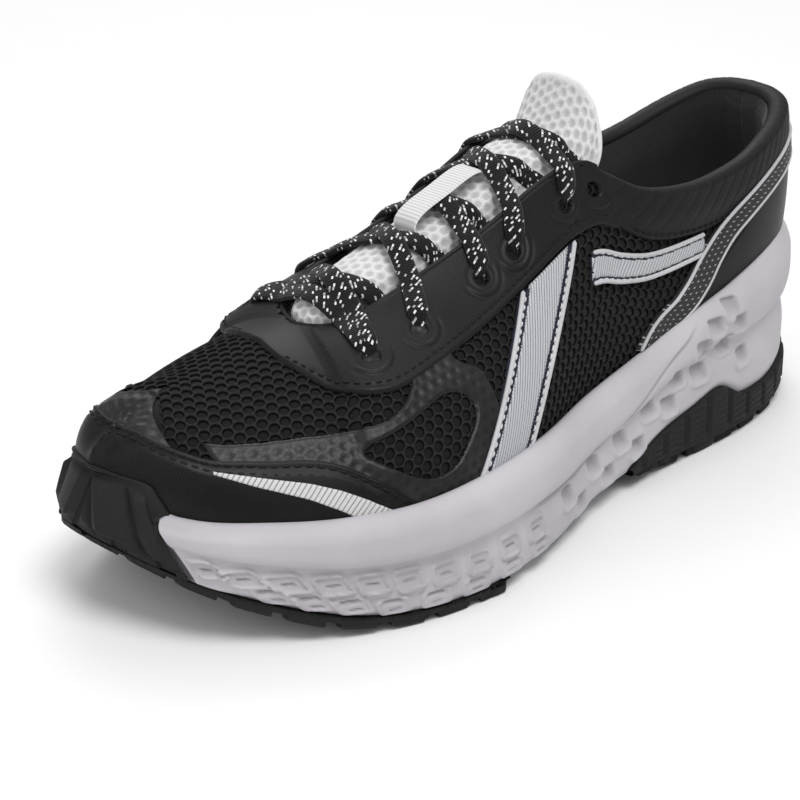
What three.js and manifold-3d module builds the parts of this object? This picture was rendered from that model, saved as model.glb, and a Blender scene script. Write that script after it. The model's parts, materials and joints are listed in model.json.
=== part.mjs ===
// A left trail running shoe, standing on its sole.
// +Z is up, the toe points to -X, the outer (lateral) side faces -Y.
// The origin is the middle of the shoe's footprint, on the floor.
import * as THREE from 'three';
import Module from 'manifold-3d';

const wasm = await Module();
wasm.setup();

// Driving sizes, in millimetres
const LENGTH = 298;
const BALL_WIDTH = 118;
const STACK = 36;
const INSTEP_HEIGHT = 108;
const COLLAR_WIDTH = 60;
const RIM_INSET = 8.5;
const GAP = 0.3;
const WALL = 2.4;
const OVERLAY = 1.0;
const INSOLE = 3.5;
const BUMPER = 3.5;
const BUMPER_RISE = 14;
const LUG = 3.4;
const TUCK = 0.6;
const GROOVE = 1.3;
const FLANGE = 3.2;
const POCKET = 1.6;
const TONGUE = 4.2;
const CROWN = 5;
const TONGUE_TOP = 22;
const COLLAR_PAD = 5;
const LACE_WIDTH = 7;
const LACE_THICKNESS = 1.5;
const EYELET_RADIUS = 2.3;

// Along is a share of LENGTH from the heel; lateral, medial and ridge are shares of BALL_WIDTH.
const OUTLINE = [
  { along: 0, lateral: 0.055, medial: 0.055, ridge: 0.055 },
  { along: 0.02, lateral: -0.085, medial: 0.185, ridge: 0.055 },
  { along: 0.05, lateral: -0.165, medial: 0.265, ridge: 0.055 },
  { along: 0.1, lateral: -0.235, medial: 0.335, ridge: 0.055 },
  { along: 0.2, lateral: -0.295, medial: 0.385, ridge: 0.058 },
  { along: 0.335, lateral: -0.315, medial: 0.37, ridge: 0.062 },
  { along: 0.47, lateral: -0.375, medial: 0.37, ridge: 0.07 },
  { along: 0.57, lateral: -0.46, medial: 0.425, ridge: 0.08 },
  { along: 0.67, lateral: -0.505, medial: 0.505, ridge: 0.095 },
  { along: 0.755, lateral: -0.485, medial: 0.495, ridge: 0.11 },
  { along: 0.84, lateral: -0.41, medial: 0.475, ridge: 0.125 },
  { along: 0.906, lateral: -0.295, medial: 0.425, ridge: 0.13 },
  { along: 0.956, lateral: -0.17, medial: 0.35, ridge: 0.13 },
  { along: 0.985, lateral: -0.02, medial: 0.29, ridge: 0.13 },
  { along: 1, lateral: 0.13, medial: 0.13, ridge: 0.13 },
];

// Heights as shares of STACK: the foam's rim, its underside, the tread and the footbed.
const HEIGHTS = [
  { along: 0, rim: 1.78, under: 0.46, tread: 0.2, bed: 1.0 },
  { along: 0.05, rim: 1.74, under: 0.33, tread: 0.07, bed: 1.0 },
  { along: 0.12, rim: 1.66, under: 0.26, tread: 0, bed: 0.99 },
  { along: 0.22, rim: 1.48, under: 0.25, tread: 0, bed: 0.97 },
  { along: 0.3, rim: 1.33, under: 0.25, tread: 0, bed: 0.92 },
  { along: 0.38, rim: 1.19, under: 0.19, tread: 0.08, bed: 0.86 },
  { along: 0.47, rim: 1.1, under: 0.16, tread: 0.08, bed: 0.78 },
  { along: 0.57, rim: 1.06, under: 0.11, tread: 0, bed: 0.71 },
  { along: 0.67, rim: 1.03, under: 0.1, tread: 0, bed: 0.67 },
  { along: 0.75, rim: 0.98, under: 0.1, tread: 0, bed: 0.67 },
  { along: 0.84, rim: 0.97, under: 0.19, tread: 0.075, bed: 0.7 },
  { along: 0.906, rim: 0.98, under: 0.37, tread: 0.26, bed: 0.76 },
  { along: 0.956, rim: 1.0, under: 0.56, tread: 0.48, bed: 0.83 },
  { along: 1, rim: 1.06, under: 0.78, tread: 0.74, bed: 0.92 },
];

// How far the heel rubber climbs the foam's side, as a share of STACK.
const HEEL_WRAP = [
  { along: 0, climb: 0.05 },
  { along: 0.05, climb: 0.09 },
  { along: 0.12, climb: 0.1 },
  { along: 0.18, climb: 0.13 },
  { along: 0.235, climb: 0.32 },
  { along: 0.285, climb: 0.22 },
  { along: 0.35, climb: 0.14 },
  { along: 0.39, climb: 0.04 },
  { along: 0.41, climb: 0 },
];

// The upper's free edge and, in front of the throat, the ridge of the toe box.
// Round runs from 0 at the heel to 1 at the toe; half is a share of COLLAR_WIDTH,
// high is a share of INSTEP_HEIGHT.
const TOP_EDGE = [
  { round: 0, along: 0.03, half: 0, high: 1.0 },
  { round: 0.06, along: 0.034, half: 0.165, high: 0.995 },
  { round: 0.13, along: 0.054, half: 0.32, high: 0.975 },
  { round: 0.2, along: 0.1, half: 0.43, high: 0.925 },
  { round: 0.28, along: 0.175, half: 0.49, high: 0.86 },
  { round: 0.35, along: 0.255, half: 0.5, high: 0.84 },
  { round: 0.41, along: 0.33, half: 0.46, high: 0.875 },
  { round: 0.45, along: 0.372, half: 0.395, high: 0.94 },
  { round: 0.475, along: 0.398, half: 0.35, high: 0.985 },
  { round: 0.5, along: 0.432, half: 0.32, high: 0.978 },
  { round: 0.56, along: 0.537, half: 0.297, high: 0.855 },
  { round: 0.62, along: 0.63, half: 0.29, high: 0.765 },
  { round: 0.665, along: 0.695, half: 0.257, high: 0.7 },
  { round: 0.69, along: 0.718, half: 0.183, high: 0.672 },
  { round: 0.705, along: 0.728, half: 0.073, high: 0.661 },
  { round: 0.715, along: 0.732, half: 0, high: 0.658 },
  { round: 0.76, along: 0.765, half: 0, high: 0.64 },
  { round: 0.85, along: 0.838, half: 0, high: 0.6 },
  { round: 0.93, along: 0.895, half: 0, high: 0.587 },
  { round: 1, along: 0.93, half: 0, high: 0.548 },
];

// How the upper's wall leaves the sole and arrives at its free edge.
// The outs are shares of BALL_WIDTH, the ups are shares of the wall's height there.
const SWELL = [
  { round: 0, lowOut: 0.042, lowUp: 0.35, topOut: 0.034, topUp: 0.35 },
  { round: 0.1, lowOut: 0.038, lowUp: 0.35, topOut: 0.034, topUp: 0.35 },
  { round: 0.25, lowOut: 0.034, lowUp: 0.35, topOut: 0.025, topUp: 0.35 },
  { round: 0.35, lowOut: 0.025, lowUp: 0.35, topOut: 0.03, topUp: 0.35 },
  { round: 0.45, lowOut: 0.025, lowUp: 0.36, topOut: 0.076, topUp: 0.42 },
  { round: 0.5, lowOut: 0.025, lowUp: 0.4, topOut: 0.11, topUp: 0.38 },
  { round: 0.56, lowOut: 0.025, lowUp: 0.46, topOut: 0.144, topUp: 0.3 },
  { round: 0.62, lowOut: 0.03, lowUp: 0.5, topOut: 0.17, topUp: 0.22 },
  { round: 0.665, lowOut: 0.03, lowUp: 0.52, topOut: 0.205, topUp: 0.12 },
  { round: 0.7, lowOut: 0.03, lowUp: 0.54, topOut: 0.24, topUp: 0.03 },
  { round: 0.76, lowOut: 0.025, lowUp: 0.56, topOut: 0.248, topUp: 0 },
  { round: 0.85, lowOut: 0.02, lowUp: 0.56, topOut: 0.245, topUp: 0 },
  { round: 0.93, lowOut: 0.017, lowUp: 0.56, topOut: 0.225, topUp: 0 },
  { round: 1, lowOut: 0.008, lowUp: 0.56, topOut: 0.19, topUp: 0 },
];

// The foam's side from its underside (0) to its rim (1); in is a share of RIM_INSET.
const SIDE_STEPS = [
  { up: 0, in: 0.33 },
  { up: 0.12, in: 0.17 },
  { up: 0.535, in: 0.36 },
  { up: 0.575, in: 0.1 },
  { up: 0.7, in: 0 },
  { up: 0.9, in: 0.1 },
  { up: 1, in: 0.42 },
];

// The toe bumper's lip above the rim, as a share of BUMPER_RISE.
const BUMPER_LIP = [
  { round: 0.88, rise: 0.12 },
  { round: 0.9, rise: 0.5 },
  { round: 0.92, rise: 0.8 },
  { round: 0.95, rise: 0.92 },
  { round: 1, rise: 1 },
];

// Panels on the upper. Low and top are shares of the wall from the sole (0) to the free edge (1).
const TOE_CAP_TOP = [
  { round: 0.64, top: 0.16 },
  { round: 0.7, top: 0.19 },
  { round: 0.746, top: 0.22 },
  { round: 0.8, top: 0.27 },
  { round: 0.854, top: 0.35 },
  { round: 0.892, top: 0.47 },
  { round: 0.93, top: 0.62 },
  { round: 0.97, top: 0.8 },
  { round: 1, top: 0.87 },
];
const EYESTAY_LOW = [
  { round: 0.445, low: 0.8 },
  { round: 0.5, low: 0.76 },
  { round: 0.56, low: 0.7 },
  { round: 0.62, low: 0.64 },
  { round: 0.68, low: 0.6 },
  { round: 0.72, low: 0.65 },
  { round: 0.745, low: 0.78 },
  { round: 0.765, low: 0.92 },
];
const EYELETS = [
  { round: 0.677, rise: 0.765 },
  { round: 0.635, rise: 0.79 },
  { round: 0.577, rise: 0.845 },
  { round: 0.548, rise: 0.86 },
  { round: 0.504, rise: 0.885 },
  { round: 0.474, rise: 0.91 },
];

// Places on the upper, from 0 at the heel to 1 at the toe
const THROAT_FRONT = 0.715;
const THROAT_TOP = 0.475;
const BUMPER_SEAM = 0.879;
const SEAM_LEAN = 0.034;
const SEAM_REACH = 0.06;
const SEAM_STEP = 0.002;
const FOREFOOT_START = 0.6;
const HEEL_RUBBER_END = 0.438;

const LATERAL = -1;
const MEDIAL = 1;
const SIDES = [LATERAL, MEDIAL];

// Smooth curve through a table's rows. A steady curve never overshoots its rows.
function curve(rows, at, value, scale = 1, steady = false) {
  const x = rows.map((row) => row[at]);
  const y = rows.map((row) => row[value] * scale);
  const last = x.length - 1;
  const run = x.slice(1).map((next, i) => next - x[i]);
  const rate = run.map((step, i) => (y[i + 1] - y[i]) / step);
  const slope = x.map((unused, i) => {
    if (i === 0) return rate[0];
    if (i === last) return rate[last - 1];
    const before = rate[i - 1];
    const after = rate[i];
    if (!steady) return (run[i] * before + run[i - 1] * after) / (run[i] + run[i - 1]);
    if (before * after <= 0) return 0;
    const first = 2 * run[i] + run[i - 1];
    const second = run[i] + 2 * run[i - 1];
    return (first + second) / (first / before + second / after);
  });
  return (q) => {
    let i = 0;
    while (i < last - 1 && q > x[i + 1]) i += 1;
    const t = THREE.MathUtils.clamp((q - x[i]) / run[i], 0, 1);
    const t2 = t * t;
    const t3 = t2 * t;
    return (2 * t3 - 3 * t2 + 1) * y[i] + (t3 - 2 * t2 + t) * run[i] * slope[i]
      + (3 * t2 - 2 * t3) * y[i + 1] + (t3 - t2) * run[i] * slope[i + 1];
  };
}

function spread(from, to, count, bias = 1) {
  return Array.from({ length: count + 1 }, (unused, i) => {
    const t = 1 - (1 - i / count) ** bias;
    return from + (to - from) * t;
  });
}

const steps = (count) => Array.from({ length: count + 1 }, (unused, i) => i / count);

const alongAt = (round) => (1 - Math.cos(Math.PI * round)) / 2;
const roundAt = (along) => Math.acos(1 - 2 * along) / Math.PI;
const mix = THREE.MathUtils.lerp;
const smooth = THREE.MathUtils.smoothstep;

const outlineRows = OUTLINE.map((row) => ({ ...row, round: roundAt(row.along) }));
const lateralAt = curve(outlineRows, 'round', 'lateral', BALL_WIDTH);
const medialAt = curve(outlineRows, 'round', 'medial', BALL_WIDTH);
const ridgeAt = curve(OUTLINE, 'along', 'ridge', BALL_WIDTH);
const rimAt = curve(HEIGHTS, 'along', 'rim', STACK);
const underAt = curve(HEIGHTS, 'along', 'under', STACK);
const treadAt = curve(HEIGHTS, 'along', 'tread', STACK, true);
const bedAt = curve(HEIGHTS, 'along', 'bed', STACK);
const climbAt = curve(HEEL_WRAP, 'along', 'climb', STACK, true);
const topAlong = curve(TOP_EDGE, 'round', 'along', LENGTH);
const topHalf = curve(TOP_EDGE, 'round', 'half', COLLAR_WIDTH, true);
const topHigh = curve(TOP_EDGE, 'round', 'high', INSTEP_HEIGHT);
const lowOut = curve(SWELL, 'round', 'lowOut', BALL_WIDTH);
const lowUp = curve(SWELL, 'round', 'lowUp');
const topOut = curve(SWELL, 'round', 'topOut', BALL_WIDTH);
const topUp = curve(SWELL, 'round', 'topUp');
const stepIn = curve(SIDE_STEPS, 'up', 'in', RIM_INSET, true);
const lipAt = curve(BUMPER_LIP, 'round', 'rise', BUMPER_RISE);
const capTop = curve(TOE_CAP_TOP, 'round', 'top');
const eyestayLow = curve(EYESTAY_LOW, 'round', 'low');

// Half of the outline: distance from the heel and distance to the side
function outline(side, round) {
  let half = side;
  let at = round;
  if (at < 0 || at > 1) {
    half = -side;
    at = at < 0 ? -at : 2 - at;
  }
  return { s: alongAt(at) * LENGTH, y: half === LATERAL ? lateralAt(at) : medialAt(at) };
}

function outward(side, round) {
  const reach = 0.005;
  const a = outline(side, round - reach);
  const b = outline(side, round + reach);
  const size = Math.hypot(b.s - a.s, b.y - a.y);
  return { s: -side * (b.y - a.y) / size, y: side * (b.s - a.s) / size };
}

function inset(side, round, depth) {
  const edge = outline(side, round);
  const out = outward(side, round);
  return { s: edge.s - depth * out.s, y: edge.y - depth * out.y };
}

const widths = Array.from({ length: 201 }, (unused, i) => i / 200);
const centreY = (Math.min(...widths.map(lateralAt)) + Math.max(...widths.map(medialAt))) / 2;
const place = (s, y, z) => new THREE.Vector3(LENGTH / 2 - s, y - centreY, z);
const sharesOf = (point) => (LENGTH / 2 - point.x) / LENGTH;

// The upper's outer surface: round runs heel to toe, rise runs from the sole to the free edge
function ridgeSlope(round) {
  const reach = 0.01;
  const a = THREE.MathUtils.clamp(round - reach, THROAT_FRONT, 1);
  const b = THREE.MathUtils.clamp(round + reach, THROAT_FRONT, 1);
  if (b <= a) return 0;
  const fade = THREE.MathUtils.clamp((round - 0.69) / (THROAT_FRONT - 0.69), 0, 1);
  return fade * (topHigh(b) - topHigh(a)) / (topAlong(b) - topAlong(a));
}

function upperAt(side, round, rise) {
  if (round < 0) return upperAt(-side, -round, rise);
  if (round > 1) return upperAt(-side, 2 - round, rise);
  if (rise > 1 && round < THROAT_FRONT) {
    const edge = upperAt(side, round, 1);
    const below = upperAt(side, round, 0.95);
    return edge.clone().addScaledVector(edge.sub(below), (rise - 1) / 0.05);
  }
  if (rise > 1) return upperAt(-side, round, 2 - rise);
  const foot = inset(side, round, RIM_INSET);
  const out = outward(side, round);
  const z0 = bedAt(foot.s / LENGTH) + GAP;
  const s3 = topAlong(round);
  const y3 = ridgeAt(s3 / LENGTH) + side * topHalf(round);
  const z3 = topHigh(round);
  const height = z3 - z0;
  const low = lowOut(round);
  const top = topOut(round);
  const z1 = z0 + lowUp(round) * height;
  const z2 = z3 - topUp(round) * height + top * out.s * ridgeSlope(round);
  const t = rise;
  const b0 = (1 - t) ** 3;
  const b1 = 3 * (1 - t) ** 2 * t;
  const b2 = 3 * (1 - t) * t * t;
  const b3 = t ** 3;
  return place(
    b0 * foot.s + b1 * (foot.s + low * out.s) + b2 * (s3 + top * out.s) + b3 * s3,
    b0 * foot.y + b1 * (foot.y + low * out.y) + b2 * (y3 + top * out.y) + b3 * y3,
    b0 * z0 + b1 * z1 + b2 * z2 + b3 * z3,
  );
}

// Direction away from the foot, square to the upper's surface
function upperNormal(side, round, rise) {
  const reach = 0.004;
  const at = round < THROAT_FRONT ? Math.min(rise, 1 - reach) : rise;
  const t0 = Math.max(at - reach, 0);
  const t1 = at + reach;
  const along = upperAt(side, round + reach, rise).sub(upperAt(side, round - reach, rise));
  const up = upperAt(side, round, t1).sub(upperAt(side, round, t0));
  return along.cross(up).multiplyScalar(side).normalize();
}

const lifted = (side, round, rise, lift) => (
  upperAt(side, round, rise).addScaledVector(upperNormal(side, round, rise), lift)
);

// The share of the wall at which the upper reaches a height
function riseAt(side, round, z) {
  let low = 0;
  let high = 1;
  for (let i = 0; i < 24; i += 1) {
    const middle = (low + high) / 2;
    if (upperAt(side, round, middle).z < z) low = middle;
    else high = middle;
  }
  return low;
}

// The columns and rows of facets that the upper and all that lies on it share
const upperColumns = [
  ...spread(0, THROAT_FRONT, 17, 1.4),
  ...spread(THROAT_FRONT, 1, 8).slice(1),
];
const UPPER_ROWS = 7;

// The columns that the foam and its rubber share
const BUMPER_START = BUMPER_SEAM + 2.5 * SEAM_STEP;
const bumperColumns = spread(BUMPER_START, 1, 6);
const soleColumns = [
  ...spread(0, BUMPER_SEAM, 18), HEEL_RUBBER_END, FOREFOOT_START,
].sort((a, b) => a - b);
const columnsWithin = (from, to) => soleColumns.filter((round) => round >= from && round <= to);

const rimHeight = (side, round) => rimAt(alongAt(round));
const rimRise = (side, round) => riseAt(side, round, rimHeight(side, round));

// A closed body from points and triangles. Points in the same place become one.
function body(points, faces) {
  const seen = new Map();
  const kept = [];
  const index = points.map((point) => {
    const key = `${point.x.toFixed(3)},${point.y.toFixed(3)},${point.z.toFixed(3)}`;
    if (!seen.has(key)) {
      seen.set(key, kept.length);
      kept.push(point);
    }
    return seen.get(key);
  });
  const whole = faces
    .map((face) => face.map((i) => index[i]))
    .filter(([a, b, c]) => a !== b && b !== c && a !== c);
  return { points: kept, faces: whole };
}

function volumeOf(mesh) {
  return mesh.faces.reduce((sum, [a, b, c]) => {
    const cross = new THREE.Vector3().crossVectors(mesh.points[b], mesh.points[c]);
    return sum + mesh.points[a].dot(cross) / 6;
  }, 0);
}

function toSolid(mesh) {
  const flip = volumeOf(mesh) < 0;
  const vertProperties = new Float32Array(mesh.points.flatMap((p) => [p.x, p.y, p.z]));
  const order = mesh.faces.flatMap(([a, b, c]) => (flip ? [a, c, b] : [a, b, c]));
  const triVerts = new Uint32Array(order);
  return new wasm.Manifold(new wasm.Mesh({ numProp: 3, vertProperties, triVerts }));
}

// Two matching sheets, joined along their free edges
function between(outer, inner, grids) {
  const points = [...outer, ...inner];
  const count = outer.length;
  const first = body(outer, grids);
  const remap = new Map();
  outer.forEach((point, i) => {
    const key = `${point.x.toFixed(3)},${point.y.toFixed(3)},${point.z.toFixed(3)}`;
    if (!remap.has(key)) remap.set(key, i);
  });
  const back = first.points.map((point) => (
    remap.get(`${point.x.toFixed(3)},${point.y.toFixed(3)},${point.z.toFixed(3)}`)
  ));
  const faces = first.faces.map((face) => face.map((i) => back[i]));
  const edges = new Map();
  faces.forEach((face) => face.forEach((a, k) => edges.set(`${a},${face[(k + 1) % 3]}`, true)));
  const all = faces.flatMap(([a, b, c]) => [[a, b, c], [a + count, c + count, b + count]]);
  faces.forEach((face) => face.forEach((a, k) => {
    const b = face[(k + 1) % 3];
    if (edges.has(`${b},${a}`)) return;
    all.push([b, a, a + count], [b, a + count, b + count]);
  }));
  return toSolid(body(points, all));
}

// Triangles of a grid of columns by rows, turned over on the lateral side
function gridFaces(columns, rows, start, side) {
  const faces = [];
  for (let i = 0; i + 1 < columns; i += 1) {
    for (let j = 0; j + 1 < rows; j += 1) {
      const a = start + i * rows + j;
      const b = a + rows;
      if (side === MEDIAL) faces.push([a, b, b + 1], [a, b + 1, a + 1]);
      else faces.push([a, b + 1, b], [a, a + 1, b + 1]);
    }
  }
  return faces;
}

// A panel that follows the upper between two lifts, on one side or wrapped over both.
// Place gives round and rise for the shares across and up the panel.
function panel(sides, columns, rows, placeOf, outerLift, innerLift) {
  const outer = [];
  const inner = [];
  const faces = [];
  sides.forEach((side) => {
    const start = outer.length;
    for (let i = 0; i < columns; i += 1) {
      for (let j = 0; j < rows; j += 1) {
        const at = placeOf(i / (columns - 1), j / (rows - 1), side);
        outer.push(lifted(side, at.round, at.rise, outerLift(at)));
        inner.push(lifted(side, at.round, at.rise, innerLift(at)));
      }
    }
    faces.push(...gridFaces(columns, rows, start, side));
  });
  return between(outer, inner, faces);
}

// A layer over the whole upper, facet for facet
function layer(outerLift, innerLift) {
  const last = upperColumns.length - 1;
  const placeOf = (i, j) => ({ round: upperColumns[Math.round(i * last)], rise: j });
  return panel(SIDES, last + 1, UPPER_ROWS, placeOf, () => outerLift, () => innerLift);
}

// An overlay: the layer that lies on the upper, cut to a panel's outline
function overlay(sides, columns, rows, placeOf) {
  const outlineCut = panel(sides, columns, rows, placeOf, () => 4 * OVERLAY, () => -OVERLAY);
  return layer(GAP + OVERLAY, GAP).intersect(outlineCut);
}

// A run of closed sections with equal numbers of points, closed at its ends
function tube(sections) {
  const rows = sections[0].length;
  const points = sections.flat();
  const faces = [];
  for (let i = 0; i + 1 < sections.length; i += 1) {
    for (let j = 0; j < rows; j += 1) {
      const a = i * rows + j;
      const b = i * rows + ((j + 1) % rows);
      faces.push([a, a + rows, b + rows], [a, b + rows, b]);
    }
  }
  const end = (sections.length - 1) * rows;
  for (let j = 0; j + 1 < rows / 2; j += 1) {
    const far = rows - 1 - j;
    faces.push([j, j + 1, far - 1], [j, far - 1, far]);
    faces.push([end + j, end + far - 1, end + j + 1], [end + j, end + far, end + far - 1]);
  }
  return toSolid(body(points, faces));
}

const joined = (parts) => parts.reduce((sum, part) => sum.add(part));
const cutAway = (solid, cuts) => cuts.reduce((left, cut) => left.subtract(cut), solid);

// A block with a four-sided floor and a four-sided roof
const block = (floor, roof) => tube([floor, roof]);

function finish(solid, name, color, roughness) {
  const found = solid.getMesh();
  const corners = [];
  for (let i = 0; i < found.triVerts.length; i += 1) {
    const at = found.triVerts[i] * found.numProp;
    corners.push(...found.vertProperties.slice(at, at + 3));
  }
  const geometry = new THREE.BufferGeometry();
  geometry.setAttribute('position', new THREE.Float32BufferAttribute(corners, 3));
  geometry.computeVertexNormals();
  const material = new THREE.MeshStandardMaterial({ color, roughness, metalness: 0 });
  const mesh = new THREE.Mesh(geometry, material);
  mesh.name = name;
  return mesh;
}

// The seam between foam and bumper leans forward with height
const leanAt = (round, up) => (
  round + (up - 0.5) * SEAM_LEAN * Math.max(0, 1 - Math.abs(round - BUMPER_SEAM) / SEAM_REACH)
);

// How far the foam's lower edge stands above its underside, to let the heel rubber climb
const heelClimb = (round) => (
  round < HEEL_RUBBER_END ? Math.max(climbAt(alongAt(round)), 3 * GAP) : 0
);

function foamSide(side, round, up, push = 0) {
  const bumped = round > BUMPER_SEAM + SEAM_STEP / 2;
  const at = leanAt(round, up);
  const depth = bumped ? BUMPER : stepIn(up);
  const edge = inset(side, at, depth - push);
  const share = alongAt(at);
  const low = underAt(share) + heelClimb(round);
  return place(edge.s, edge.y, mix(low, rimAt(share), up));
}

// The foam before its pockets are cut. Grow adds clearance for the rubber around it,
// and a little more toward the toe, where the seam faces forward.
function foam(grow) {
  const columns = [...soleColumns, BUMPER_SEAM + SEAM_STEP, ...bumperColumns];
  const ups = SIDE_STEPS.map((row) => row.up);
  const across = steps(3);
  const sections = columns.map((round) => {
    const half = (side) => {
      const deep = inset(side, round, FLANGE + 2 * GAP - grow);
      const share = deep.s / LENGTH;
      const foot = [
        place(deep.s, deep.y, underAt(share) - grow),
        place(deep.s, deep.y, underAt(share) + heelClimb(round) - grow),
      ];
      const rim = rimRise(side, round);
      const out = outward(side, round);
      const inner = [rim, rim * 0.5, 0].map((rise) => {
        const point = upperAt(side, round, rise);
        point.x -= 2 * GAP * out.s;
        point.y += 2 * GAP * out.y;
        return point;
      });
      inner[0].z += grow;
      const wall = ups.map((up) => {
        const point = foamSide(side, round, up, grow);
        point.z += grow * (2 * up - 1);
        return point;
      });
      return [...foot, ...wall, ...inner];
    };
    const left = half(LATERAL);
    const right = half(MEDIAL);
    const floorPoint = (t, end, height) => {
      const point = left[end].clone().lerp(right[end], t);
      point.z = height(sharesOf(point));
      return point;
    };
    const bed = across.map((t) => floorPoint(t, left.length - 1, bedAt));
    const under = across.slice(1, -1).map((t) => (
      floorPoint(1 - t, 0, (share) => underAt(share) - grow)
    ));
    const ring = [...left, ...bed, ...right.reverse(), ...under];
    return ring.map((point) => point.setX(point.x - 0.9 * grow));
  });
  return tube(sections);
}

const midsole = () => cutAway(foam(0), pockets());

// Rows of slanted pockets moulded into the foam's side
function pockets() {
  const bands = [
    { from: 0.24, to: 0.862, low: 0.27, high: 0.47, count: 12 },
    { from: 0.45, to: 0.84, low: 0.07, high: 0.2, count: 8 },
  ];
  const cuts = [];
  SIDES.forEach((side) => bands.forEach((band) => {
    const pitch = (band.to - band.from) / band.count;
    for (let k = 0; k < band.count; k += 1) {
      const start = band.from + (k + 0.16) * pitch;
      const width = pitch * 0.68;
      const slant = pitch * 0.3;
      const corner = (along, up, push) => {
        const round = start + along * width + (up === band.high ? slant : 0);
        return foamSide(side, Math.min(round, BUMPER_SEAM), up, push);
      };
      const ring = (push) => [
        corner(0, band.low, push),
        corner(1, band.low, push),
        corner(1, band.high, push),
        corner(0, band.high, push),
      ];
      cuts.push(block(ring(-POCKET), ring(POCKET)));
    }
  }));
  return cuts;
}

const lugDepth = (share) => Math.min(LUG, 0.6 * (underAt(share) - treadAt(share)));

// A sheet of rubber under the foam, at the given columns
function rubberSheet(columns) {
  const across = steps(2);
  const sections = columns.map((round) => {
    const left = inset(LATERAL, round, 2 * TUCK);
    const right = inset(MEDIAL, round, 2 * TUCK);
    const row = (t, height) => {
      const s = mix(left.s, right.s, t);
      return place(s, mix(left.y, right.y, t), height(s / LENGTH));
    };
    const top = across.map((t) => row(t, (share) => underAt(share) - 1.5 * GAP));
    const low = across.map((t) => row(t, (share) => treadAt(share) + lugDepth(share)));
    return [...top, ...low.reverse()];
  });
  return tube(sections);
}

// One lug: a block from the rubber sheet down to the tread, its plan leaning as a chevron
function lug(from, to, near, far, lean) {
  const plan = [[from, near], [from, far], [to, far], [to, near]];
  const at = (along, across, draft) => {
    const round = roundAt(along);
    const left = inset(LATERAL, round, TUCK);
    const right = inset(MEDIAL, round, TUCK);
    const y = mix(left.y, right.y, across);
    const middle = (from + to) / 2;
    const s = (middle + (along - middle) * draft + lean * Math.abs(across - 0.5)) * LENGTH;
    return { s, y };
  };
  const floor = plan.map(([along, across]) => {
    const spot = at(along, across, 0.86);
    return place(spot.s, spot.y, treadAt(spot.s / LENGTH));
  });
  const roof = plan.map(([along, across]) => {
    const spot = at(along, across, 1);
    const share = spot.s / LENGTH;
    const sheet = treadAt(share) + lugDepth(share);
    return place(spot.s, spot.y, mix(sheet, underAt(share) - GAP, 0.5));
  });
  return block(floor, roof);
}

function lugs(from, to, rows, lean) {
  const pitch = (to - from) / rows;
  const bands = [[0, 0.17], [0.23, 0.42], [0.47, 0.53], [0.58, 0.77], [0.83, 1]];
  const made = [];
  for (let k = 0; k < rows; k += 1) {
    bands.forEach(([near, far], n) => {
      const shift = n % 2 ? 0.5 * pitch : 0;
      const start = from + k * pitch + shift;
      if (start + 0.62 * pitch > to) return;
      made.push(lug(start, start + 0.62 * pitch, near, far, lean));
    });
  }
  return made;
}

function bumper() {
  const section = (side, round) => {
    const out = outward(side, round);
    const share = (up) => alongAt(leanAt(round, up));
    const low = share(0);
    const ring = (up, depth, z) => {
      const edge = inset(side, leanAt(round, up), depth);
      return place(edge.s, edge.y, z);
    };
    const lip = rimAt(share(1)) + lipAt(round);
    const onUpper = (z, away) => {
      const point = upperAt(side, round, riseAt(side, round, z));
      point.x -= away * out.s;
      point.y += away * out.y;
      point.z = z;
      return point;
    };
    const sheet = (mixing) => mix(treadAt(low) + lugDepth(low), underAt(low) - GAP, mixing);
    const rim = rimAt(share(1)) + GAP;
    const outer = [
      ring(0, 2.5 * TUCK, sheet(0.3)),
      ring(0, TUCK, underAt(low)),
      ring(0.3, 0, mix(underAt(share(0.3)), rimAt(share(0.3)), 0.3)),
      ring(0.7, 0, mix(underAt(share(0.7)), rimAt(share(0.7)), 0.7)),
      ring(1, 2 * TUCK, mix(rim, lip, 0.3)),
      onUpper(lip, BUMPER * 0.7),
    ];
    const inner = [
      ring(0, 2 * BUMPER, sheet(0.3)),
      ring(0, 2 * BUMPER, sheet(0.6)),
      ring(0, BUMPER - 2.4 * GAP, sheet(0.6)),
      ring(1, BUMPER - 2.4 * GAP, rim + GAP),
      onUpper(rim + GAP, 2 * GAP),
      onUpper(lip, 2 * GAP),
    ];
    return [...outer, ...inner.reverse()];
  };
  const left = bumperColumns.map((round) => section(LATERAL, round));
  const right = bumperColumns.slice(0, -1).reverse().map((round) => section(MEDIAL, round));
  return tube([...left, ...right]);
}

// Grooves across the bumper's face
function bumperGrooves() {
  const cuts = [];
  SIDES.forEach((side) => [0.905, 0.935, 0.965].forEach((round) => {
    const corner = (shift, up, depth) => {
      const at = Math.min(round + shift - 0.02 * up, 0.995);
      const edge = inset(side, at, depth);
      const share = alongAt(at);
      return place(edge.s, edge.y, mix(underAt(share), rimAt(share), up));
    };
    const ring = (depth) => [
      corner(-0.005, 0.15, depth),
      corner(0.005, 0.15, depth),
      corner(0.003, 1.05, depth),
      corner(-0.003, 1.05, depth),
    ];
    cuts.push(block(ring(GROOVE), ring(-GROOVE)));
  }));
  return cuts;
}

function forefootRubber() {
  const sheet = rubberSheet([...columnsWithin(FOREFOOT_START, 1), ...bumperColumns]);
  const rubber = joined([sheet, bumper(), ...lugs(0.655, 0.965, 6, -0.05)]);
  return cutAway(rubber, [foam(1.2 * GAP), layer(2 * GAP, -WALL - BUMPER), ...bumperGrooves()]);
}

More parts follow.
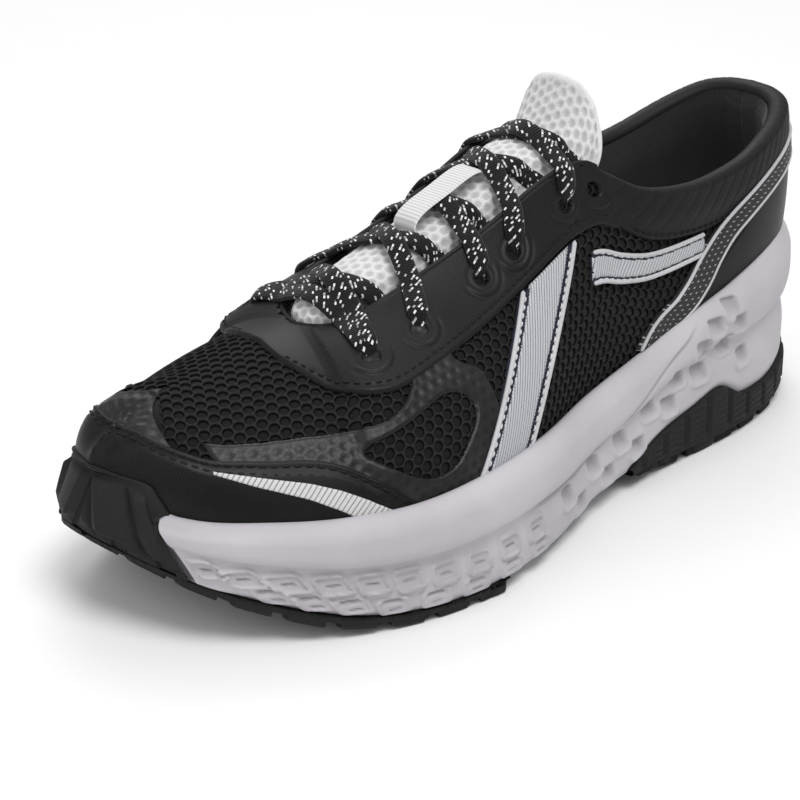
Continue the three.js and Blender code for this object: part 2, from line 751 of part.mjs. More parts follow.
// The heel rubber's flange, which climbs the foam's side
function heelFlange() {
  const columns = columnsWithin(0, HEEL_RUBBER_END).slice(0, -1);
  const section = (side, round) => {
    const share = alongAt(round);
    const ring = (depth, z) => {
      const edge = inset(side, round, depth);
      return place(edge.s, edge.y, z);
    };
    const sheet = (mixing) => mix(treadAt(share) + lugDepth(share), underAt(share) - GAP, mixing);
    const top = underAt(share) + heelClimb(round) - 1.5 * GAP;
    const outer = [ring(2.5 * TUCK, sheet(0.3)), ring(TUCK, sheet(0.8)), ring(1.5 * TUCK, top)];
    const inner = [
      ring(FLANGE, top),
      ring(FLANGE, sheet(0.7)),
      ring(2 * FLANGE, sheet(0.7)),
      ring(2 * FLANGE, sheet(0.3)),
    ];
    return [...outer, ...inner];
  };
  const left = columns.slice(1).reverse().map((round) => section(LATERAL, round));
  const right = columns.map((round) => section(MEDIAL, round));
  return tube([...left, ...right]);
}

function heelRubber() {
  const sheet = rubberSheet(columnsWithin(0, HEEL_RUBBER_END));
  const rubber = joined([sheet, heelFlange(), ...lugs(0.05, 0.37, 4, 0.05)]);
  return cutAway(rubber, [foam(1.2 * GAP)]);
}

function insole() {
  const columns = spread(0, 1, 18);
  const across = steps(3);
  const depth = RIM_INSET + WALL + 3 * GAP;
  const sections = columns.map((round) => {
    const left = inset(LATERAL, round, depth);
    const right = inset(MEDIAL, round, depth);
    const row = (t, lift) => {
      const s = mix(left.s, right.s, t);
      return place(s, mix(left.y, right.y, t), bedAt(s / LENGTH) + lift);
    };
    const low = across.map((t) => row(t, GAP));
    const top = across.map((t) => row(1 - t, GAP + INSOLE));
    return [...low, ...top];
  });
  return tube(sections);
}

// A punched hole through whatever lies at an eyelet
function eyeletPunch(side, eyelet) {
  const middle = upperAt(side, eyelet.round, eyelet.rise);
  const axis = upperNormal(side, eyelet.round, eyelet.rise);
  const right = new THREE.Vector3(1, 0, 0).cross(axis).normalize();
  const up = new THREE.Vector3().crossVectors(axis, right);
  const ring = (lift) => steps(6).slice(0, -1).map((turn) => {
    const angle = turn * 2 * Math.PI;
    return middle.clone()
      .addScaledVector(axis, lift)
      .addScaledVector(right, EYELET_RADIUS * Math.cos(angle))
      .addScaledVector(up, EYELET_RADIUS * Math.sin(angle));
  });
  return tube([ring(-2 * WALL), ring(4 * OVERLAY)]);
}

const punches = () => SIDES.flatMap((side) => EYELETS.map((eyelet) => eyeletPunch(side, eyelet)));

const upper = () => cutAway(layer(0, -WALL), punches());

// Clearance above the rim for a panel's lower edge
const overRim = (side, round) => riseAt(side, round, rimHeight(side, round) + 2 * GAP);

function toeCap() {
  const from = TOE_CAP_TOP[0].round;
  const low = (side, round) => {
    if (round < BUMPER_SEAM) return overRim(side, round);
    const lip = rimAt(alongAt(round)) + lipAt(round) + 6 * GAP;
    return riseAt(side, round, lip);
  };
  const placeOf = (i, j, side) => {
    const round = mix(from, 1, i);
    const start = low(side, round);
    return { round, rise: mix(start, Math.max(capTop(round), start + 0.02), j) };
  };
  return overlay(SIDES, 10, 3, placeOf);
}

function eyestay() {
  const from = EYESTAY_LOW[0].round;
  const to = EYESTAY_LOW[EYESTAY_LOW.length - 1].round;
  const placeOf = (i, j) => {
    const round = mix(from, to, i);
    const beyond = 0.03 * smooth(THROAT_FRONT - round, 0, 0.03);
    return { round, rise: mix(eyestayLow(round), 1 + beyond, j) };
  };
  return cutAway(overlay(SIDES, 13, 2, placeOf), punches());
}

function heelCounter() {
  const top = 0.86;
  const placeOf = (i, j, side) => {
    const reach = mix(0.4, 0.25, smooth(j, 0, 1));
    const round = i * reach;
    return { round, rise: mix(overRim(side, round), top, j) };
  };
  return overlay(SIDES, 6, 3, placeOf);
}

// A straight-sided band down the middle of one side
function saddle(side) {
  const placeOf = (i, j) => {
    const round = mix(mix(0.56, 0.5, j), mix(0.625, 0.555, j), i);
    return { round, rise: mix(overRim(side, round), eyestayLow(round) - 0.02, j) };
  };
  return overlay([side], 2, 5, placeOf);
}

// A band from the saddle back to the heel counter
function quarterBand(side) {
  const placeOf = (i, j) => {
    const round = mix(0.34, 0.485, i);
    const low = mix(0.6, 0.56, i);
    return { round, rise: mix(low, low + 0.13, j) };
  };
  return overlay([side], 4, 2, placeOf);
}

function collarLining() {
  const rounds = upperColumns.filter((round) => round < THROAT_TOP - 0.02);
  const end = rounds[rounds.length - 1];
  const low = 0.5;
  const inside = () => -WALL - GAP;
  const padded = (at) => {
    const up = (at.rise - low) / (1 - low);
    const full = smooth(up, 0, 0.7) * (1 - 0.55 * smooth(up, 0.8, 1));
    const fade = 1 - smooth(at.round, end - 0.1, end);
    return -WALL - GAP - COLLAR_PAD * mix(0.25, 1, full * fade);
  };
  const placeOf = (i, j) => ({
    round: rounds[Math.round(i * (rounds.length - 1))],
    rise: mix(low, 1, j),
  });
  return panel(SIDES, rounds.length, 4, placeOf, inside, padded);
}

// The roof of the throat: the upper's surface, with an arch across the opening.
// Across runs from -1 to 1; wing is how far the sides reach down under the upper.
function throatRoof(round, across, wing) {
  const edge = 0.55;
  if (Math.abs(across) > edge) {
    const side = Math.sign(across);
    const down = (Math.abs(across) - edge) / (1 - edge);
    const rise = 1 - wing * down;
    return { point: upperAt(side, round, rise), normal: upperNormal(side, round, rise), open: 0 };
  }
  const left = upperAt(LATERAL, round, 1);
  const right = upperAt(MEDIAL, round, 1);
  const t = (across / edge + 1) / 2;
  const point = left.clone().lerp(right, t);
  const span = left.distanceTo(right);
  const arch = 4 * t * (1 - t);
  point.z += CROWN * (span / (0.6 * COLLAR_WIDTH)) * arch;
  const normal = upperNormal(LATERAL, round, 1).lerp(upperNormal(MEDIAL, round, 1), t).normalize();
  return { point, normal, open: smooth(arch, 0, 0.8) };
}

const WING = [
  { round: 0.475, reach: 0.1 },
  { round: 0.56, reach: 0.2 },
  { round: 0.665, reach: 0.27 },
  { round: 0.715, reach: 0.33 },
  { round: 0.75, reach: 0.34 },
];
const wingAt = curve(WING, 'round', 'reach');

function tongue() {
  const front = 0.75;
  const across = steps(10).map((t) => 2 * t - 1);
  const sunk = -(WALL + 5 * GAP);
  const grow = (span) => smooth(span, 0, COLLAR_WIDTH / 3);
  const section = (round) => across.map((a) => {
    const roof = throatRoof(round, a, wingAt(round));
    const span = upperAt(LATERAL, round, 1).distanceTo(upperAt(MEDIAL, round, 1));
    return roof.point.clone().addScaledVector(roof.normal, sunk * (1 - roof.open * grow(span)));
  });
  const inner = (points, round) => points.map((point, k) => (
    point.clone().addScaledVector(throatRoof(round, across[k], wingAt(round)).normal, -TONGUE)
  ));
  const columns = upperColumns.filter((round) => round > THROAT_TOP + 0.01 && round < front);
  const pairs = [front, ...columns.reverse(), THROAT_TOP].map((round) => {
    const outer = section(round);
    return [...outer, ...inner(outer, round).reverse()];
  });
  const base = pairs[pairs.length - 1];
  const middle = base.reduce((sum, p) => sum.add(p), new THREE.Vector3()).divideScalar(base.length);
  steps(3).slice(1).forEach((t) => {
    const turn = t * 0.9;
    const shift = new THREE.Vector3(
      TONGUE_TOP * t * Math.cos(turn) * 0.75,
      0,
      TONGUE_TOP * t * mix(0.35, 0.9, t),
    );
    const narrow = 1 - 0.16 * t;
    pairs.push(base.map((p) => {
      const moved = p.clone().sub(middle);
      moved.y *= narrow;
      moved.z *= 1 - 0.25 * t;
      return moved.add(middle).add(shift);
    }));
  });
  return cutAway(tube(pairs), [layer(0, -WALL - 2 * GAP)]);
}

// A flat lace along a path of points with their surface normals
function ribbon(path) {
  return tube(path.map(({ point, normal }, k) => {
    const before = path[Math.max(k - 1, 0)].point;
    const after = path[Math.min(k + 1, path.length - 1)].point;
    const side = after.clone().sub(before).cross(normal).normalize();
    const up = normal.clone().multiplyScalar(LACE_THICKNESS / 2);
    const half = side.multiplyScalar(LACE_WIDTH / 2);
    return [
      point.clone().add(half).add(up),
      point.clone().sub(half).add(up),
      point.clone().sub(half).sub(up),
      point.clone().add(half).sub(up),
    ];
  }));
}

// A lace's run over the throat from one eyelet to another
function laceRun(from, to) {
  const count = 5;
  const path = steps(count).map((t) => {
    const round = mix(from.round, to.round, t);
    const rise = mix(from.rise, to.rise, t);
    const across = mix(1, -1, t);
    const wing = 1 - rise;
    const roof = throatRoof(round, across, wing);
    const lift = OVERLAY + 6.5 * GAP + LACE_THICKNESS / 2;
    return { point: roof.point.clone().addScaledVector(roof.normal, lift), normal: roof.normal };
  });
  return ribbon(path);
}

function laces() {
  const runs = [laceRun(EYELETS[0], EYELETS[0])];
  EYELETS.slice(1).forEach((eyelet, k) => {
    runs.push(laceRun(EYELETS[k], eyelet), laceRun(eyelet, EYELETS[k]));
  });
  return joined(runs);
}

const RUBBER_BLACK = 0x2b2b2e;
const FOAM_GREY = 0xc9c6cb;
const MESH_BLACK = 0x1c1c1e;
const PANEL_BLACK = 0x232326;
const BAND_GREY = 0xb9bcc2;
const TONGUE_WHITE = 0xe6e6e8;

const group = new THREE.Group();
group.add(
  finish(midsole(), 'midsole', FOAM_GREY, 0.75),
  finish(forefootRubber(), 'outsole_forefoot', RUBBER_BLACK, 0.7),
  finish(heelRubber(), 'outsole_heel', RUBBER_BLACK, 0.7),
  finish(insole(), 'insole', MESH_BLACK, 0.95),
  finish(upper(), 'upper', MESH_BLACK, 0.9),
  finish(toeCap(), 'toe_cap', PANEL_BLACK, 0.55),
  finish(eyestay(), 'eyestay', PANEL_BLACK, 0.6),
  finish(heelCounter(), 'heel_counter', PANEL_BLACK, 0.6),
  finish(saddle(LATERAL), 'saddle_lateral', BAND_GREY, 0.6),
  finish(saddle(MEDIAL), 'saddle_medial', BAND_GREY, 0.6),
  finish(quarterBand(LATERAL), 'quarter_band_lateral', BAND_GREY, 0.6),
  finish(quarterBand(MEDIAL), 'quarter_band_medial', BAND_GREY, 0.6),
  finish(collarLining(), 'collar_lining', MESH_BLACK, 0.95),
  finish(tongue(), 'tongue', TONGUE_WHITE, 0.9),
  finish(laces(), 'lace', MESH_BLACK, 0.9),
);

export default group;
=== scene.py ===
"""A left trail running shoe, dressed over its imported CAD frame.

Shapes are worked out in millimetres in the frame's own axes: +Z up, toe to -X,
the outer side facing -Y. A place on the upper is a pair (wrap, rise): wrap runs
from 0 at the heel along the outer side to 1 at the toe and back along the inner
side to 2 at the heel; rise runs from 0 at the sole to 1 at the free edge.
"""
import json
import math

import bpy
import numpy as np
from mathutils import Matrix, Vector, kdtree

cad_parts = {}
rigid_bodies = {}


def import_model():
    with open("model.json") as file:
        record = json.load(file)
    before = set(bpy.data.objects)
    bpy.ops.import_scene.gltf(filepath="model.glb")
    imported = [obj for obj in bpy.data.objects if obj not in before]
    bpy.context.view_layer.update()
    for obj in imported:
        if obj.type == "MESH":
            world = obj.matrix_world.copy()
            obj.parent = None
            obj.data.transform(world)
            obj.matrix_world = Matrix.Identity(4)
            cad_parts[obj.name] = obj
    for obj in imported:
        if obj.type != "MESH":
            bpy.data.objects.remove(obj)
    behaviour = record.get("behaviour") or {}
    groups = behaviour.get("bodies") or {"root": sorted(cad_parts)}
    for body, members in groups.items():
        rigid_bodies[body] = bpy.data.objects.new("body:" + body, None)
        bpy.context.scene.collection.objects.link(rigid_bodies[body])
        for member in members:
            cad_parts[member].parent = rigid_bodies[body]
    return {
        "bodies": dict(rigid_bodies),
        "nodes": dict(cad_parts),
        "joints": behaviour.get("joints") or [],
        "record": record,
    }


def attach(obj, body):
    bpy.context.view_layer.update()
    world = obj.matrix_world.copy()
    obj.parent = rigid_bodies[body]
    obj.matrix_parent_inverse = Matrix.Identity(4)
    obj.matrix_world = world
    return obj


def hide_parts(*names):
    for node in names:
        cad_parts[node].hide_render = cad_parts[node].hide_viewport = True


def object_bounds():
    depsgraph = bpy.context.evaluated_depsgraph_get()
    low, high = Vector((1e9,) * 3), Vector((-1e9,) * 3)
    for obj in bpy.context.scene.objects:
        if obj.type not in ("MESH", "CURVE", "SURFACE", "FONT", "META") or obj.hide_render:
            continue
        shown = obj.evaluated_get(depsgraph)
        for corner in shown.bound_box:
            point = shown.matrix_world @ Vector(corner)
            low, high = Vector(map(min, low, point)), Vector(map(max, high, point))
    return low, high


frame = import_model()
cad_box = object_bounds()

MM = 0.001

# Driving sizes, in millimetres, as in the CAD
LENGTH = 298.0
BALL_WIDTH = 118.0
STACK = 36.0
INSTEP_HEIGHT = 108.0
COLLAR_WIDTH = 60.0
RIM_INSET = 8.5
GAP = 0.3
WALL = 2.4
BUMPER_RISE = 9.6
LUG = 3.4
CROWN = 5.0
TONGUE = 4.2
TONGUE_TOP = 22.0
EYELET_RADIUS = 2.3
LACE_WIDTH = 6.6
LACE_THICKNESS = 2.1
FLECK_PITCH = 1.6


def table(names, *rows):
    """A short table as {column name: numbers}."""
    return dict(zip(names.split(), np.array(rows, float).T))


# Shares of LENGTH along, shares of BALL_WIDTH across
OUTLINE = table(
    "along lateral medial ridge",
    (0, 0.055, 0.055, 0.055),
    (0.02, -0.085, 0.185, 0.055),
    (0.05, -0.165, 0.265, 0.055),
    (0.1, -0.235, 0.335, 0.055),
    (0.2, -0.295, 0.385, 0.058),
    (0.335, -0.315, 0.37, 0.062),
    (0.47, -0.375, 0.37, 0.07),
    (0.57, -0.46, 0.425, 0.08),
    (0.67, -0.505, 0.505, 0.095),
    (0.755, -0.485, 0.495, 0.11),
    (0.84, -0.41, 0.475, 0.125),
    (0.906, -0.295, 0.425, 0.13),
    (0.956, -0.17, 0.35, 0.13),
    (0.985, -0.02, 0.29, 0.13),
    (1, 0.13, 0.13, 0.13),
)
# Shares of STACK
HEIGHTS = table(
    "along rim under tread bed",
    (0, 1.78, 0.46, 0.2, 1.0),
    (0.05, 1.74, 0.33, 0.07, 1.0),
    (0.12, 1.66, 0.26, 0, 0.99),
    (0.22, 1.48, 0.25, 0, 0.97),
    (0.3, 1.33, 0.25, 0, 0.92),
    (0.38, 1.19, 0.19, 0.08, 0.86),
    (0.47, 1.1, 0.16, 0.08, 0.78),
    (0.57, 1.06, 0.11, 0, 0.71),
    (0.67, 1.03, 0.1, 0, 0.67),
    (0.75, 0.98, 0.1, 0, 0.67),
    (0.84, 0.97, 0.19, 0.075, 0.7),
    (0.906, 0.98, 0.37, 0.26, 0.76),
    (0.956, 1.0, 0.56, 0.48, 0.83),
    (1, 1.06, 0.78, 0.74, 0.92),
)
HEEL_WRAP = table(
    "along climb",
    (0, 0.05), (0.05, 0.09), (0.12, 0.1), (0.18, 0.13), (0.235, 0.32),
    (0.285, 0.22), (0.35, 0.14), (0.39, 0.04), (0.41, 0),
)
# Along is a share of LENGTH, half of COLLAR_WIDTH, high of INSTEP_HEIGHT
TOP_EDGE = table(
    "round along half high",
    (0, 0.03, 0, 1.0),
    (0.06, 0.034, 0.165, 0.995),
    (0.13, 0.054, 0.32, 0.975),
    (0.2, 0.1, 0.43, 0.925),
    (0.28, 0.175, 0.49, 0.86),
    (0.35, 0.255, 0.5, 0.84),
    (0.41, 0.33, 0.46, 0.875),
    (0.45, 0.372, 0.395, 0.94),
    (0.475, 0.398, 0.35, 0.985),
    (0.5, 0.432, 0.32, 0.978),
    (0.56, 0.537, 0.297, 0.855),
    (0.62, 0.63, 0.29, 0.765),
    (0.665, 0.695, 0.257, 0.7),
    (0.69, 0.718, 0.183, 0.672),
    (0.705, 0.728, 0.073, 0.661),
    (0.715, 0.732, 0, 0.658),
    (0.76, 0.765, 0, 0.64),
    (0.85, 0.838, 0, 0.6),
    (0.93, 0.895, 0, 0.587),
    (1, 0.93, 0, 0.548),
)
# Outs are shares of BALL_WIDTH, ups are shares of the wall's height there
SWELL = table(
    "round low_out low_up top_out top_up",
    (0, 0.042, 0.35, 0.034, 0.35),
    (0.1, 0.038, 0.35, 0.034, 0.35),
    (0.25, 0.034, 0.35, 0.025, 0.35),
    (0.35, 0.025, 0.35, 0.03, 0.35),
    (0.45, 0.025, 0.36, 0.076, 0.42),
    (0.5, 0.025, 0.4, 0.11, 0.38),
    (0.56, 0.025, 0.46, 0.144, 0.3),
    (0.62, 0.03, 0.5, 0.17, 0.22),
    (0.665, 0.03, 0.52, 0.205, 0.12),
    (0.7, 0.03, 0.54, 0.24, 0.03),
    (0.76, 0.025, 0.56, 0.248, 0),
    (0.85, 0.02, 0.56, 0.245, 0),
    (0.93, 0.017, 0.56, 0.225, 0),
    (1, 0.008, 0.56, 0.19, 0),
)
# The foam's side from its underside to its rim; in is in millimetres
SIDE_STEPS = table(
    "up in",
    (0, 2.6), (0.08, 1.6), (0.25, 1.6), (0.5, 3.0), (0.545, 2.8),
    (0.575, 0.9), (0.7, 0), (0.85, 0.3), (0.94, 1.6), (1, 3.6),
)
BUMPER_LIP = table(
    "round rise",
    (0.86, 0), (0.8885, 0.02), (0.895, 0.35), (0.903, 0.78), (0.912, 0.87), (0.94, 0.93), (1, 1),
)
EYELETS = ((0.677, 0.765), (0.635, 0.79), (0.577, 0.845),
           (0.548, 0.86), (0.504, 0.885), (0.474, 0.91))
SIDES = (("lateral", -1), ("medial", 1))
THROAT_FRONT = 0.715
THROAT_TOP = 0.475
BUMPER_SEAM = 0.879
BUMPER_LEAN = 0.33
SEAM_LEAN = 0.034
SEAM_REACH = 0.06
FLANGE = 3.2
FOREFOOT_START = 0.6
HEEL_RUBBER_END = 0.438


# ---- Curves and the shoe's own surfaces

def curve(rows, at, value, scale=1.0, steady=False):
    """Smooth curve through a table's rows. A steady curve never overshoots them."""
    x, y = rows[at], rows[value] * scale
    run = np.diff(x)
    rate = np.diff(y) / run
    slope = np.empty_like(x)
    slope[0], slope[-1] = rate[0], rate[-1]
    before, after = rate[:-1], rate[1:]
    if steady:
        first, second = 2 * run[1:] + run[:-1], run[1:] + 2 * run[:-1]
        with np.errstate(all="ignore"):
            even = (first + second) / (first / before + second / after)
        slope[1:-1] = np.where(before * after > 0, even, 0)
    else:
        slope[1:-1] = (run[1:] * before + run[:-1] * after) / (run[1:] + run[:-1])

    def read(q):
        q = np.asarray(q, float)
        i = np.clip(np.searchsorted(x, q) - 1, 0, len(run) - 1)
        t = np.clip((q - x[i]) / run[i], 0, 1)
        return ((2 * t**3 - 3 * t**2 + 1) * y[i] + (t**3 - 2 * t**2 + t) * run[i] * slope[i]
                + (3 * t**2 - 2 * t**3) * y[i + 1] + (t**3 - t**2) * run[i] * slope[i + 1])
    return read


def along_at(rnd):
    return (1 - np.cos(np.pi * np.asarray(rnd))) / 2


def round_at(along):
    return np.arccos(1 - 2 * np.clip(along, 0, 1)) / np.pi


def smooth(x, low, high):
    t = np.clip((np.asarray(x, float) - low) / (high - low), 0, 1)
    return t * t * (3 - 2 * t)


def mix(a, b, t):
    return a + (b - a) * t


def unit(v):
    return v / np.maximum(np.linalg.norm(v, axis=-1, keepdims=True), 1e-9)


OUTLINE["round"] = round_at(OUTLINE["along"])
lateral_at = curve(OUTLINE, "round", "lateral", BALL_WIDTH)
medial_at = curve(OUTLINE, "round", "medial", BALL_WIDTH)
ridge_at = curve(OUTLINE, "along", "ridge", BALL_WIDTH)
rim_at = curve(HEIGHTS, "along", "rim", STACK)
under_at = curve(HEIGHTS, "along", "under", STACK)
tread_at = curve(HEIGHTS, "along", "tread", STACK, True)
bed_at = curve(HEIGHTS, "along", "bed", STACK)
climb_at = curve(HEEL_WRAP, "along", "climb", STACK, True)
top_along = curve(TOP_EDGE, "round", "along", LENGTH)
top_half = curve(TOP_EDGE, "round", "half", COLLAR_WIDTH, True)
top_high = curve(TOP_EDGE, "round", "high", INSTEP_HEIGHT)
low_out = curve(SWELL, "round", "low_out", BALL_WIDTH)
low_up = curve(SWELL, "round", "low_up")
top_out = curve(SWELL, "round", "top_out", BALL_WIDTH)
top_up = curve(SWELL, "round", "top_up")
step_in = curve(SIDE_STEPS, "up", "in", 1.0, True)
lip_at = curve(BUMPER_LIP, "round", "rise", BUMPER_RISE, True)

_w = np.linspace(0, 1, 201)
CENTRE_Y = (lateral_at(_w).min() + medial_at(_w).max()) / 2


def fold(wrap):
    """The round and the side (-1 outer, 1 inner) of a wrap."""
    turn = np.mod(np.asarray(wrap, float), 2.0)
    inner = turn > 1
    return np.where(inner, 2 - turn, turn), np.where(inner, 1.0, -1.0)


def outline(wrap):
    rnd, side = fold(wrap)
    return along_at(rnd) * LENGTH, np.where(side < 0, lateral_at(rnd), medial_at(rnd))


def outward(wrap):
    s0, y0 = outline(wrap - 0.005)
    s1, y1 = outline(wrap + 0.005)
    size = np.hypot(s1 - s0, y1 - y0)
    return (y1 - y0) / size, -(s1 - s0) / size


def inset(wrap, depth):
    s, y = outline(wrap)
    out_s, out_y = outward(wrap)
    return s - depth * out_s, y - depth * out_y


def place(s, y, z):
    return np.stack(np.broadcast_arrays(LENGTH / 2 - s, y - CENTRE_Y, z), -1)


def ridge_slope(rnd):
    a = np.clip(rnd - 0.01, THROAT_FRONT, 1)
    b = np.clip(rnd + 0.01, THROAT_FRONT, 1)
    fade = np.clip((rnd - 0.69) / (THROAT_FRONT - 0.69), 0, 1)
    span = np.maximum(top_along(b) - top_along(a), 1e-6)
    return np.where(b > a, fade * (top_high(b) - top_high(a)) / span, 0)


def upper_at(wrap, rise):
    """The upper's outer surface. Past the ridge of the toe box it runs down the other side."""
    wrap, rise = np.broadcast_arrays(np.asarray(wrap, float), np.asarray(rise, float))
    rnd, _ = fold(wrap)
    over = (rise > 1) & (rnd >= THROAT_FRONT)
    wrap = np.where(over, 2 - wrap, wrap)
    t = np.where(over, 2 - rise, rise)
    past = np.where(~over & (t > 1), t - 1, 0)
    t = np.where(over, t, np.minimum(t, 1))
    rnd, side = fold(wrap)
    foot_s, foot_y = inset(wrap, RIM_INSET)
    out_s, out_y = outward(wrap)
    z0 = bed_at(foot_s / LENGTH) + GAP
    s3 = top_along(rnd)
    y3 = ridge_at(s3 / LENGTH) + side * top_half(rnd)
    z3 = top_high(rnd)
    tall = z3 - z0
    low, top = low_out(rnd), top_out(rnd)
    z1 = z0 + low_up(rnd) * tall
    z2 = z3 - top_up(rnd) * tall + top * out_s * ridge_slope(rnd)
    b0, b1, b2, b3 = (1 - t)**3, 3 * (1 - t)**2 * t, 3 * (1 - t) * t * t, t**3
    s1, s2 = foot_s + low * out_s, s3 + top * out_s
    y1, y2 = foot_y + low * out_y, y3 + top * out_y
    s = b0 * foot_s + b1 * s1 + b2 * s2 + b3 * s3
    y = b0 * foot_y + b1 * y1 + b2 * y2 + b3 * y3
    z = b0 * z0 + b1 * z1 + b2 * z2 + b3 * z3
    reach = 3 * past
    return place(s + reach * (s3 - s2), y + reach * (y3 - y2), z + reach * (z3 - z2))


def upper_normal(wrap, rise):
    wrap, rise = np.broadcast_arrays(np.asarray(wrap, float), np.asarray(rise, float))
    rnd, _ = fold(wrap)
    reach = 0.004
    at = np.where(rnd < THROAT_FRONT, np.minimum(rise, 1 - reach), rise)
    along = upper_at(wrap + reach, at) - upper_at(wrap - reach, at)
    up = upper_at(wrap, at + reach) - upper_at(wrap, np.maximum(at - reach, 0))
    return unit(np.cross(up, along))


def lifted(wrap, rise, lift):
    lift = np.broadcast_to(lift, np.broadcast(wrap, rise).shape)
    return upper_at(wrap, rise) + upper_normal(wrap, rise) * lift[..., None]


def rise_at(wrap, z):
    """The rise at which the upper reaches a height."""
    low = np.zeros(np.broadcast(wrap, z).shape)
    high = np.ones_like(low)
    for _ in range(22):
        middle = (low + high) / 2
        below = upper_at(wrap, middle)[..., 2] < z
        low, high = np.where(below, middle, low), np.where(below, high, middle)
    return low


def rim_height(wrap):
    return rim_at(along_at(fold(wrap)[0]))


_wraps = np.linspace(0, 2, 401)
_rim = rise_at(_wraps, rim_height(_wraps))


def rim_rise(wrap):
    return np.interp(np.mod(wrap, 2.0), _wraps, _rim)


# ---- The flat chart of the upper: U along the shoe, V over it from the middle line

CHART_U = np.arange(16.0, 279.0, 1.5)
CHART_V = np.arange(0.0, 112.0, 1.0)
CHART_FRONT = 270.0
_rounds = np.linspace(0, 1, 401)
_rises = np.linspace(0, 1, 61)


def chart_side(side):
    """(rise, round) for each U and V of one side, and V for each round and rise."""
    wrap = _rounds if side < 0 else 2 - _rounds
    points = upper_at(wrap[:, None], _rises[None, :])
    s = LENGTH / 2 - points[..., 0]
    rnd = np.stack([np.interp(CHART_U, s[:, j], _rounds) for j in range(len(_rises))], 1)
    at = upper_at(rnd if side < 0 else 2 - rnd, np.broadcast_to(_rises, rnd.shape))
    hop = np.linalg.norm(np.diff(at, axis=1), axis=2)
    edge = np.abs(at[:, -1, 1] + CENTRE_Y - ridge_at(CHART_U / LENGTH))
    over = np.concatenate([np.cumsum(hop[:, ::-1], 1)[:, ::-1], np.zeros((len(hop), 1))], 1)
    over += edge[:, None]
    rise = np.full((len(CHART_U), len(CHART_V)), np.nan)
    back = rise.copy()
    for k, row in enumerate(over):
        inside = (CHART_V >= row[-1] - 0.6) & (CHART_V <= row[0])
        rise[k, inside] = np.interp(CHART_V[inside], row[::-1], _rises[::-1])
        back[k, inside] = np.interp(CHART_V[inside], row[::-1], rnd[k, ::-1])
    seen = np.stack([np.interp(s[:, j], CHART_U, over[:, j]) for j in range(len(_rises))], 1)
    return rise, back, seen


CHART = {side: chart_side(side) for side in (-1, 1)}


def bilinear(grid, i, j):
    i = np.clip(i, 0, grid.shape[0] - 1.001)
    j = np.clip(j, 0, grid.shape[1] - 1.001)
    a, b = i.astype(int), j.astype(int)
    p, q = i - a, j - b
    return ((1 - p) * (1 - q) * grid[a, b] + p * (1 - q) * grid[a + 1, b]
            + (1 - p) * q * grid[a, b + 1] + p * q * grid[a + 1, b + 1])


def from_chart(u, v):
    """(wrap, rise) of a place in the chart, NaN off the upper. V is negative on the outer side."""
    i = (u - CHART_U[0]) / (CHART_U[1] - CHART_U[0])
    j = np.abs(v)
    found = []
    for side in (-1, 1):
        rise, back, _ = CHART[side]
        wrap = bilinear(back, i, j)
        found.append((wrap if side < 0 else 2 - wrap, bilinear(rise, i, j)))
    outer = v < 0
    return np.where(outer, found[0][0], found[1][0]), np.where(outer, found[0][1], found[1][1])


def to_chart(wrap, rise):
    rnd, side = fold(wrap)
    i = rnd * (len(_rounds) - 1)
    j = np.clip(rise, 0, 1) * (len(_rises) - 1)
    v = np.where(side < 0, -bilinear(CHART[-1][2], i, j), bilinear(CHART[1][2], i, j))
    return LENGTH / 2 - upper_at(wrap, rise)[..., 0], v


HOLE_PITCH = 3.8


def hole_distance(u, v):
    """Distance to the nearest centre of the mesh's holes, in the chart."""
    row = HOLE_PITCH * math.sqrt(3) / 2
    best = np.full(np.shape(u), 99.0)
    base = np.round(v / row)
    for shift in (-1, 0, 1):
        j = base + shift
        offset = np.where(np.mod(j, 2) > 0.5, HOLE_PITCH / 2, 0)
        i = np.round((u - offset) / HOLE_PITCH)
        best = np.minimum(best, np.hypot(u - i * HOLE_PITCH - offset, v - j * row))
    return best


# ---- Building meshes

def make(name, points, faces, material, slot, replaces=(), padded=None, **values):
    """A piece from points in millimetres. Values become point attributes for its shader."""
    points = np.asarray(points, float).reshape(-1, 3)
    faces = np.asarray(faces, int)
    used = np.zeros(len(points), bool)
    used[faces.ravel()] = True
    renumber = np.cumsum(used) - 1
    mesh = bpy.data.meshes.new(name)
    mesh.from_pydata((points[used] * MM).tolist(), [], renumber[faces].tolist())
    for key, value in values.items():
        value = np.asarray(value, float)
        value = value.reshape(len(points), -1)[used]
        kind = "FLOAT" if value.shape[1] == 1 else "FLOAT_VECTOR"
        if value.shape[1] == 2:
            value = np.hstack([value, np.zeros((len(value), 1))])
        layer = mesh.attributes.new(key, kind, "POINT")
        layer.data.foreach_set("value" if kind == "FLOAT" else "vector", value.ravel())
    mesh.polygons.foreach_set("use_smooth", [True] * len(mesh.polygons))
    mesh.materials.append(material)
    mesh.update()
    obj = bpy.data.objects.new(name, mesh)
    bpy.context.collection.objects.link(obj)
    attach(obj, "root")
    if replaces:
        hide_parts(*replaces)
    return obj


def grid_faces(columns, rows, closed=False):
    """Quads of a grid of columns by rows. Closed joins the last row to the first."""
    i = np.arange(columns - 1)[:, None]
    j = np.arange(rows if closed else rows - 1)[None, :]
    a = i * rows + j
    b = i * rows + (j + 1) % rows
    return np.stack([a, b, b + rows, a + rows], -1).reshape(-1, 4)


